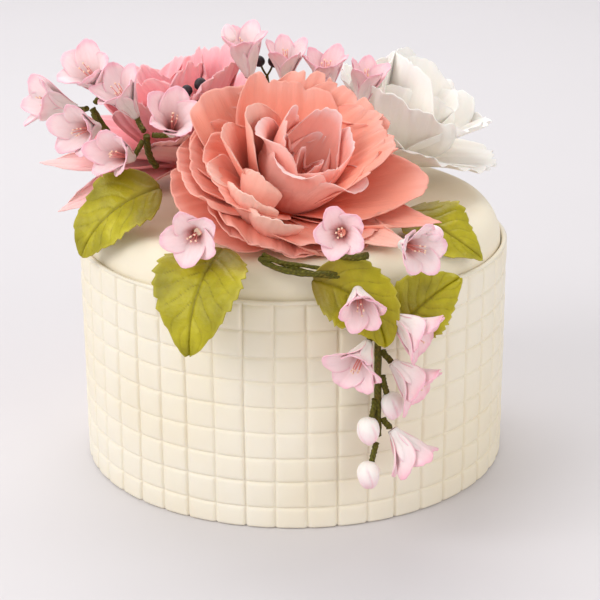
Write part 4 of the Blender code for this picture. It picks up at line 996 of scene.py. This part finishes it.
BROAD = dict(rnd=0.20, pw=2.6, wide=0.74, slim=0.10, base=0.34)
POINTED = dict(point=0.26, slim=0.55, wide=0.50, rnd=0.10, jag=0.01, teeth=3, base=0.36)
CORAL = (
    # wide outer petals, folded like fans; the front ones lie nearly flat
    ring(6, 55, 62, 14, 8, 51, 58, 4, 1, shorter=0.06, cup0=34, cup1=14, jag=0.012, teeth=6, ridge=0.30, ruffle=1.9, waves=3, **BROAD)
    # tall ragged petals behind the bud
    + ring(5, 98, 38, 0, 12, 57, 48, 5, 2, arc=100, cup0=42, cup1=18, jag=0.060, teeth=4, ridge=0.28, ruffle=1.8, **BROAD)
    # layered petals on the left
    + ring(4, -122, 58, 0, 10, 48, 54, 5, 3, arc=70, turn=16, cup0=48, cup1=28, jag=0.012, teeth=7, ridge=0.28, ruffle=1.4, **BROAD)
    # fan-like front skirt, lying just over the cake
    + [P(phi, a, a + 8, length, 60, r0=6, cup0=20, cup1=8, jag=0.010, teeth=5, ridge=0.26, ruffle=1.4, seed=40 + k, tone=0.3 + 0.2 * k, **BROAD)
       for k, (phi, a, length) in enumerate([(-48, 78, 46), (-4, 69, 46), (38, 60, 48)])]
    # right side: a ruffled petal, a big flat one, then narrow pointed ones below it
    + [
        P(108, 30, 42, 54, 48, r0=6, cup0=46, cup1=20, ruffle=2.6, waves=5, jag=0.02, ridge=0.4, seed=61, tone=0.5),
        P(84, 48, 58, 65, 48, r0=6, cup0=44, cup1=28, jag=0.01, ruffle=1.0, twist=26, roll=1.5, seed=62, tone=0.0, rnd=0.3),
        P(70, 60, 66, 64, 32, r0=6, cup0=44, cup1=30, twist=20, seed=63, tone=0.3, **POINTED),
        P(54, 65, 68, 62, 28, r0=6, cup0=40, cup1=28, twist=16, seed=64, tone=0.6, pale=0.3, **POINTED),
    ]
    # standing cupped petals on the bud's left
    + [
        P(-92, 16, 14, 48, 40, r0=12, cup0=76, cup1=60, rnd=0.16, roll=2.2, jag=0.006, twist=-20, seed=71, tone=0.9, pale=0.3),
        P(-72, 30, 30, 46, 32, r0=12, cup0=66, cup1=50, rnd=0.2, roll=1.8, jag=0.008, twist=-24, seed=72, tone=0.7, pale=0.2),
        P(-54, 48, 52, 42, 30, r0=11, cup0=60, cup1=44, rnd=0.2, roll=1.8, jag=0.008, twist=-16, seed=73, tone=0.8, pale=0.4),
    ]
    # small pale petals at the bud's foot
    + [
        P(-30, 20, -6, 24, 26, r0=26, z0=8, cup0=70, cup1=58, rnd=0.2, base=0.6, pale=1.0, seed=81, tone=0.9, nu=22, nv=28),
        P(-24, 40, 16, 28, 30, r0=31, z0=6, cup0=60, cup1=46, rnd=0.2, base=0.6, pale=1.0, seed=82, tone=0.9, nu=22, nv=28),
        P(-4, 46, 24, 28, 28, r0=33, z0=5, cup0=56, cup1=42, rnd=0.2, base=0.5, pale=1.0, seed=83, tone=0.8, nu=22, nv=28),
    ]
)
# half-closed bud: high ragged wall behind, lower rolled rims in front, petals wrapped in its hollow
BUD = (
    ring(3, 120, 12, 0, -36, 45, 42, 6, 5, arc=130, cup0=70, cup1=74, jag=0.06, teeth=3, rnd=0.34, ruffle=0.9, base=0.5, wide=0.6)
    + ring(3, -76, 20, 0, -38, 41, 52, 8, 6, arc=130, cup0=76, cup1=72, rnd=0.26, jag=0.012, curl=95, ruffle=0.8, base=0.5, wide=0.6, pale=0.35)
    + ring(3, 40, 16, 0, -40, 36, 36, 4, 7, cup0=84, cup1=90, rnd=0.40, jag=0.03, teeth=3, base=0.6)
    + ring(2, 80, 6, 0, -24, 31, 24, 2, 8, cup0=80, cup1=96, rnd=0.45, jag=0.02, teeth=3, base=0.6)
)
PINK = (
    ring(6, 20, 60, 2, 16, 54, 56, 4, 11, cup0=32, cup1=12, jag=0.035, teeth=10, ridge=0.5, ruffle=1.6, waves=4, **BROAD)
    + ring(5, 0, 32, 4, 14, 56, 54, 5, 12, cup0=44, cup1=18, jag=0.045, teeth=8, ridge=0.6, ruffle=1.6, waves=4, **BROAD)
    + ring(4, 45, 12, 0, 6, 50, 40, 5, 13, cup0=60, cup1=34, jag=0.05, teeth=5, ridge=0.4)
    # pale pointed petals out to the left
    + [
        P(-58, 84, 88, 60, 34, r0=6, cup0=44, cup1=30, twist=-24, seed=91, tone=0.7, pale=0.7, **POINTED),
        P(-86, 70, 74, 60, 32, r0=6, cup0=44, cup1=30, twist=-24, seed=92, tone=0.7, pale=0.7, **POINTED),
    ]
)
WHITE = (
    ring(5, 25, 66, 2, 8, 47, 56, 4, 21, cup0=30, cup1=14, jag=0.03, teeth=8, ridge=0.22, ruffle=2.0, waves=4, **BROAD)
    + ring(4, 75, 42, 2, 6, 50, 58, 5, 22, cup0=36, cup1=16, jag=0.035, teeth=7, ridge=0.22, ruffle=2.2, waves=4, **BROAD)
    + ring(3, 190, 10, 0, 2, 53, 52, 7, 23, arc=110, cup0=42, cup1=22, jag=0.03, teeth=5, ridge=0.16, ruffle=1.4, **BROAD)
    + ring(3, 0, 16, 0, 6, 42, 42, 6, 24, cup0=50, cup1=30, jag=0.03, teeth=5, ridge=0.14, ruffle=1.4, **BROAD)
)

flower("peony_coral", "flower_coral", (0.45, 0.55, 0.13), 25, 40, 104.0, CORAL, [M_CORAL], "coral_petals", (13.0, 10.0))
flower("peony_coral_bud", "flower_coral", (0.46, 0.53, 0.17), 32, 56, 104.0, BUD, [M_BUD], "coral_petals", None)
flower("peony_pink", "flower_pink", (0.55, 0.50, 0.11), 15, -90, 107.0, PINK, [M_PINK], "pink_petals", (12.0, 10.5))
flower("peony_white", "flower_white", (0.43, 0.49, 0.117), 20, 90, 88.0, WHITE, [M_WHITE], "white_petals", (12.0, 10.3))

# looks of each bunch of blossoms; their places and sizes come from their nodes
BUNCHES = [("blossoms_left", 1, 6, 1.08, 0.50), ("blossoms_front", 7, 10, 0.94, 0.55), ("blossoms_top", 11, 14, 1.0, 0.75), ("blossoms_hanging", 15, 18, 1.08, 0.65)]
for title, first, last, size, tint in BUNCHES:
    b = Build()
    for k in range(first, last + 1):
        foot, axis, depth, radius, turn = trumpet(f"blossom_{k}")
        r = rng(k)
        blossom(b, foot, axis, depth, radius * size, turn, k, tint + r.uniform(-0.2, 0.2))
    add_piece(b, title, [M_BLOSSOM, M_STAMEN, M_TIP], "blossom_petals", *[f"blossom_{k}" for k in range(first, last + 1)])


def blade(name):
    """A leaf's base, middle, tip, width and upper face, read from its node."""
    co = corners(name)
    centre = co.mean(0)
    along, across, face = np.linalg.svd(co - centre, full_matrices=False)[2]
    h = (co - centre) @ along
    ends = [co[h < h.min() + 2.5].mean(0), co[h > h.max() - 2.5].mean(0)]
    if abs(ends[0][0]) > abs(ends[1][0]):
        ends.reverse()
    middle = co[np.abs(h - (h.min() + h.max()) / 2) < 0.16 * (h.max() - h.min())].mean(0)
    w = (co - centre) @ across
    if face @ np.array([0.0, -0.8, 0.6]) < 0:
        face = -face
    return ends[0], middle, ends[1], float(w.max() - w.min()), face


LEAVES = [name for name in sorted(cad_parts) if name.startswith("leaf_")]
for i, name in enumerate(LEAVES):
    base, middle, tip, width, face = blade(name)
    base, middle, tip = (q + face * 0.8 for q in (base, middle, tip))
    b = Build()
    leaf(b, base, middle, tip, width, face, i + 1)
    add_piece(b, "sugar_" + name, [M_LEAF], "leaf_green", name)

STEMS = [name for name in sorted(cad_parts) if name.startswith(("stem_", "branch_", "pedicel_"))]
b = Build()
for i, name in enumerate(STEMS):
    line, radius = wire_line(name)
    if name in ("stem_hanging", "pedicel_blossom_15"):
        # the top end stays behind the leaf that covers it
        line[:, 1] += 3.0 * smooth01((line[:, 2] - 101.0) / 7.0)
    if name == "stem_front":
        for k in range(3):
            an = 2 * np.pi * k / 3 + np.linspace(0, 4.2, len(line))
            sway = np.stack([0.3 * np.sin(an), -0.7 * np.cos(an), 0.7 * np.sin(an * 0.8)], 1) * radius
            tube(b, line + sway, radius * (0.40 + 0.10 * k), sides=14, steps=8, rough=0.12, seed=i + k, edge=0.0)
        continue
    tube(b, line, radius, sides=16, steps=8, rough=0.12, seed=i, edge=0.0)
add_piece(b, "stems", [M_TAPE], "stem_tape", *STEMS)

BUDS = ["bud_round", "bud_low", "bud_long", "bud_top", "bud_right"]
b = Build()
for i, name in enumerate(BUDS):
    bud(b, *long_bud(name), i + 1)
add_piece(b, "buds", [M_BLOSSOM], "bud_petals", *BUDS)

# thin wires that carry the back row of blossoms and the berries down to the cake, behind the coral flower
b = Build()
anchor = at("flower_coral", 0.5, 1.0, 0.0) + np.array([0.0, 4.0, 0.0])
anchor[2] = TOP - 1.0


def hold(b, top, radius, seed):
    """A wire from a piece's foot down to the anchor."""
    end = anchor + np.array([(top[0] - anchor[0]) * 0.25, 0.0, 0.0])
    tube(b, [top, top * 0.62 + end * 0.38 - np.array([0.0, -1.5, 2.0]), top * 0.25 + end * 0.75 - np.array([0.0, -1.5, 0.0]), end],
         radius, sides=10, steps=8, rough=0.1, seed=seed, edge=0.0)


for k in range(11, 15):
    hold(b, trumpet(f"blossom_{k}")[0], 1.0, k)
for first, last in ((1, 4), (5, 6)):
    ends = [np.add(*node_box(f"berry_{i}")) / 2 for i in range(first, last + 1)]
    fork = np.mean(ends, 0) - np.array([0.0, 0.0, 7.0])
    for i, end in enumerate(ends):
        tube(b, [end, (end + fork) / 2 + np.array([0.0, 0.0, -0.6]), fork], 0.5, sides=8, steps=5, seed=i, edge=0.0)
    hold(b, fork, 0.8, first)
wires = b.object("wires_behind", [M_TAPE])
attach(wires, "root")

b = Build()
for i in range(1, 7):
    lo, hi = (np.array(c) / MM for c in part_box(f"berry_{i}"))
    ball(b, (lo + hi) / 2, float((hi - lo).max()) / 2, nu=20, nv=28, noise=0.03, seed=i)
add_piece(b, "berries", [M_BERRY], "berry_skin", *[f"berry_{i}" for i in range(1, 7)])

# =============================================================== stage, light, camera
def soft(name, colour, rough=0.8):
    k = Mat(name, rough=rough, spec=0.2)
    o = k.coords("Object")
    n = k.noise(o, 3.0, 2.0)
    return k.finish(k.mix(k.grey(n, 0.3, 0.7), colour, tuple(0.985 * c for c in colour[:3]) + (1,)))


prof = [(-3.0, 0.0)]
prof += [(y, 0.0) for y in np.linspace(-2.0, 1.4, 12)]
prof += [(1.4 + 0.9 * math.sin(a), 0.9 - 0.9 * math.cos(a)) for a in np.linspace(0, math.pi / 2, 16)[1:]]
prof += [(2.3, 2.0), (2.3, 4.0)]
b = Build()
pts = np.array([[[x, y, z] for y, z in prof] for x in (-4.0, 4.0)]) / MM
b.add(pts.reshape(-1, 3), grid_quads(1, len(prof) - 1)[:, ::-1])
floor = b.object("floor", [soft("floor_white", lin(218, 215, 217))])
for p in floor.data.polygons:
    p.use_smooth = True


def area(name, loc, target, size, power, colour):
    l = bpy.data.lights.new(name, "AREA")
    l.shape = "RECTANGLE"
    l.size, l.size_y = size
    l.energy = power
    l.color = colour
    o = bpy.data.objects.new(name, l)
    d = np.array(target) - np.array(loc)
    z = -unit(d)
    x = unit(np.cross([0, 0, 1], z))
    y = np.cross(z, x)
    mx = Matrix.Identity(4)
    for k, v in enumerate((x, y, z)):
        for r in range(3):
            mx[r][k] = v[r]
    for r in range(3):
        mx[r][3] = loc[r]
    o.matrix_world = mx
    bpy.context.scene.collection.objects.link(o)
    return o


area("key_left", (-1.35, -0.85, 1.2), (0, 0, 0.10), (1.3, 1.3), 17.0, (0.99, 0.99, 1.0))
area("fill_right", (1.4, -1.4, 0.8), (0, 0, 0.08), (1.4, 1.2), 8.5, (1.0, 0.975, 0.95))
area("top_back", (-0.2, 1.0, 1.8), (0, 0.1, 0.1), (1.6, 1.2), 19, (0.99, 0.99, 1.0))

world = bpy.data.worlds.new("studio")
bpy.context.scene.world = world
world.use_nodes = True
bg = world.node_tree.nodes["Background"]
bg.inputs[0].default_value = (1.0, 0.99, 0.985, 1)
bg.inputs[1].default_value = 0.67

yaw, pitch, turn = 0.0085, 0.3468, -0.0035
look = np.array([math.sin(yaw) * math.cos(pitch), math.cos(yaw) * math.cos(pitch), -math.sin(pitch)])
right = np.array([math.cos(yaw), -math.sin(yaw), 0.0])
up = np.cross(right, look)
cx = right * math.cos(turn) + up * math.sin(turn)
cy = -right * math.sin(turn) + up * math.cos(turn)
cam = bpy.data.cameras.new("camera")
cam.sensor_width = 36
cam.lens = 106.36
cam.clip_start = 0.01
cam_ob = bpy.data.objects.new("camera", cam)
mx = Matrix.Identity(4)
for k, v in enumerate((cx, cy, -look)):
    for r in range(3):
        mx[r][k] = v[r]
mx[0][3], mx[1][3], mx[2][3] = -0.0038, -0.7922, 0.3566
cam_ob.matrix_world = mx
bpy.context.scene.collection.objects.link(cam_ob)
bpy.context.scene.camera = cam_ob
bpy.context.scene.view_settings.view_transform = "Standard"
bpy.context.scene.view_settings.look = "None"
bpy.context.scene.view_settings.exposure = 0.0
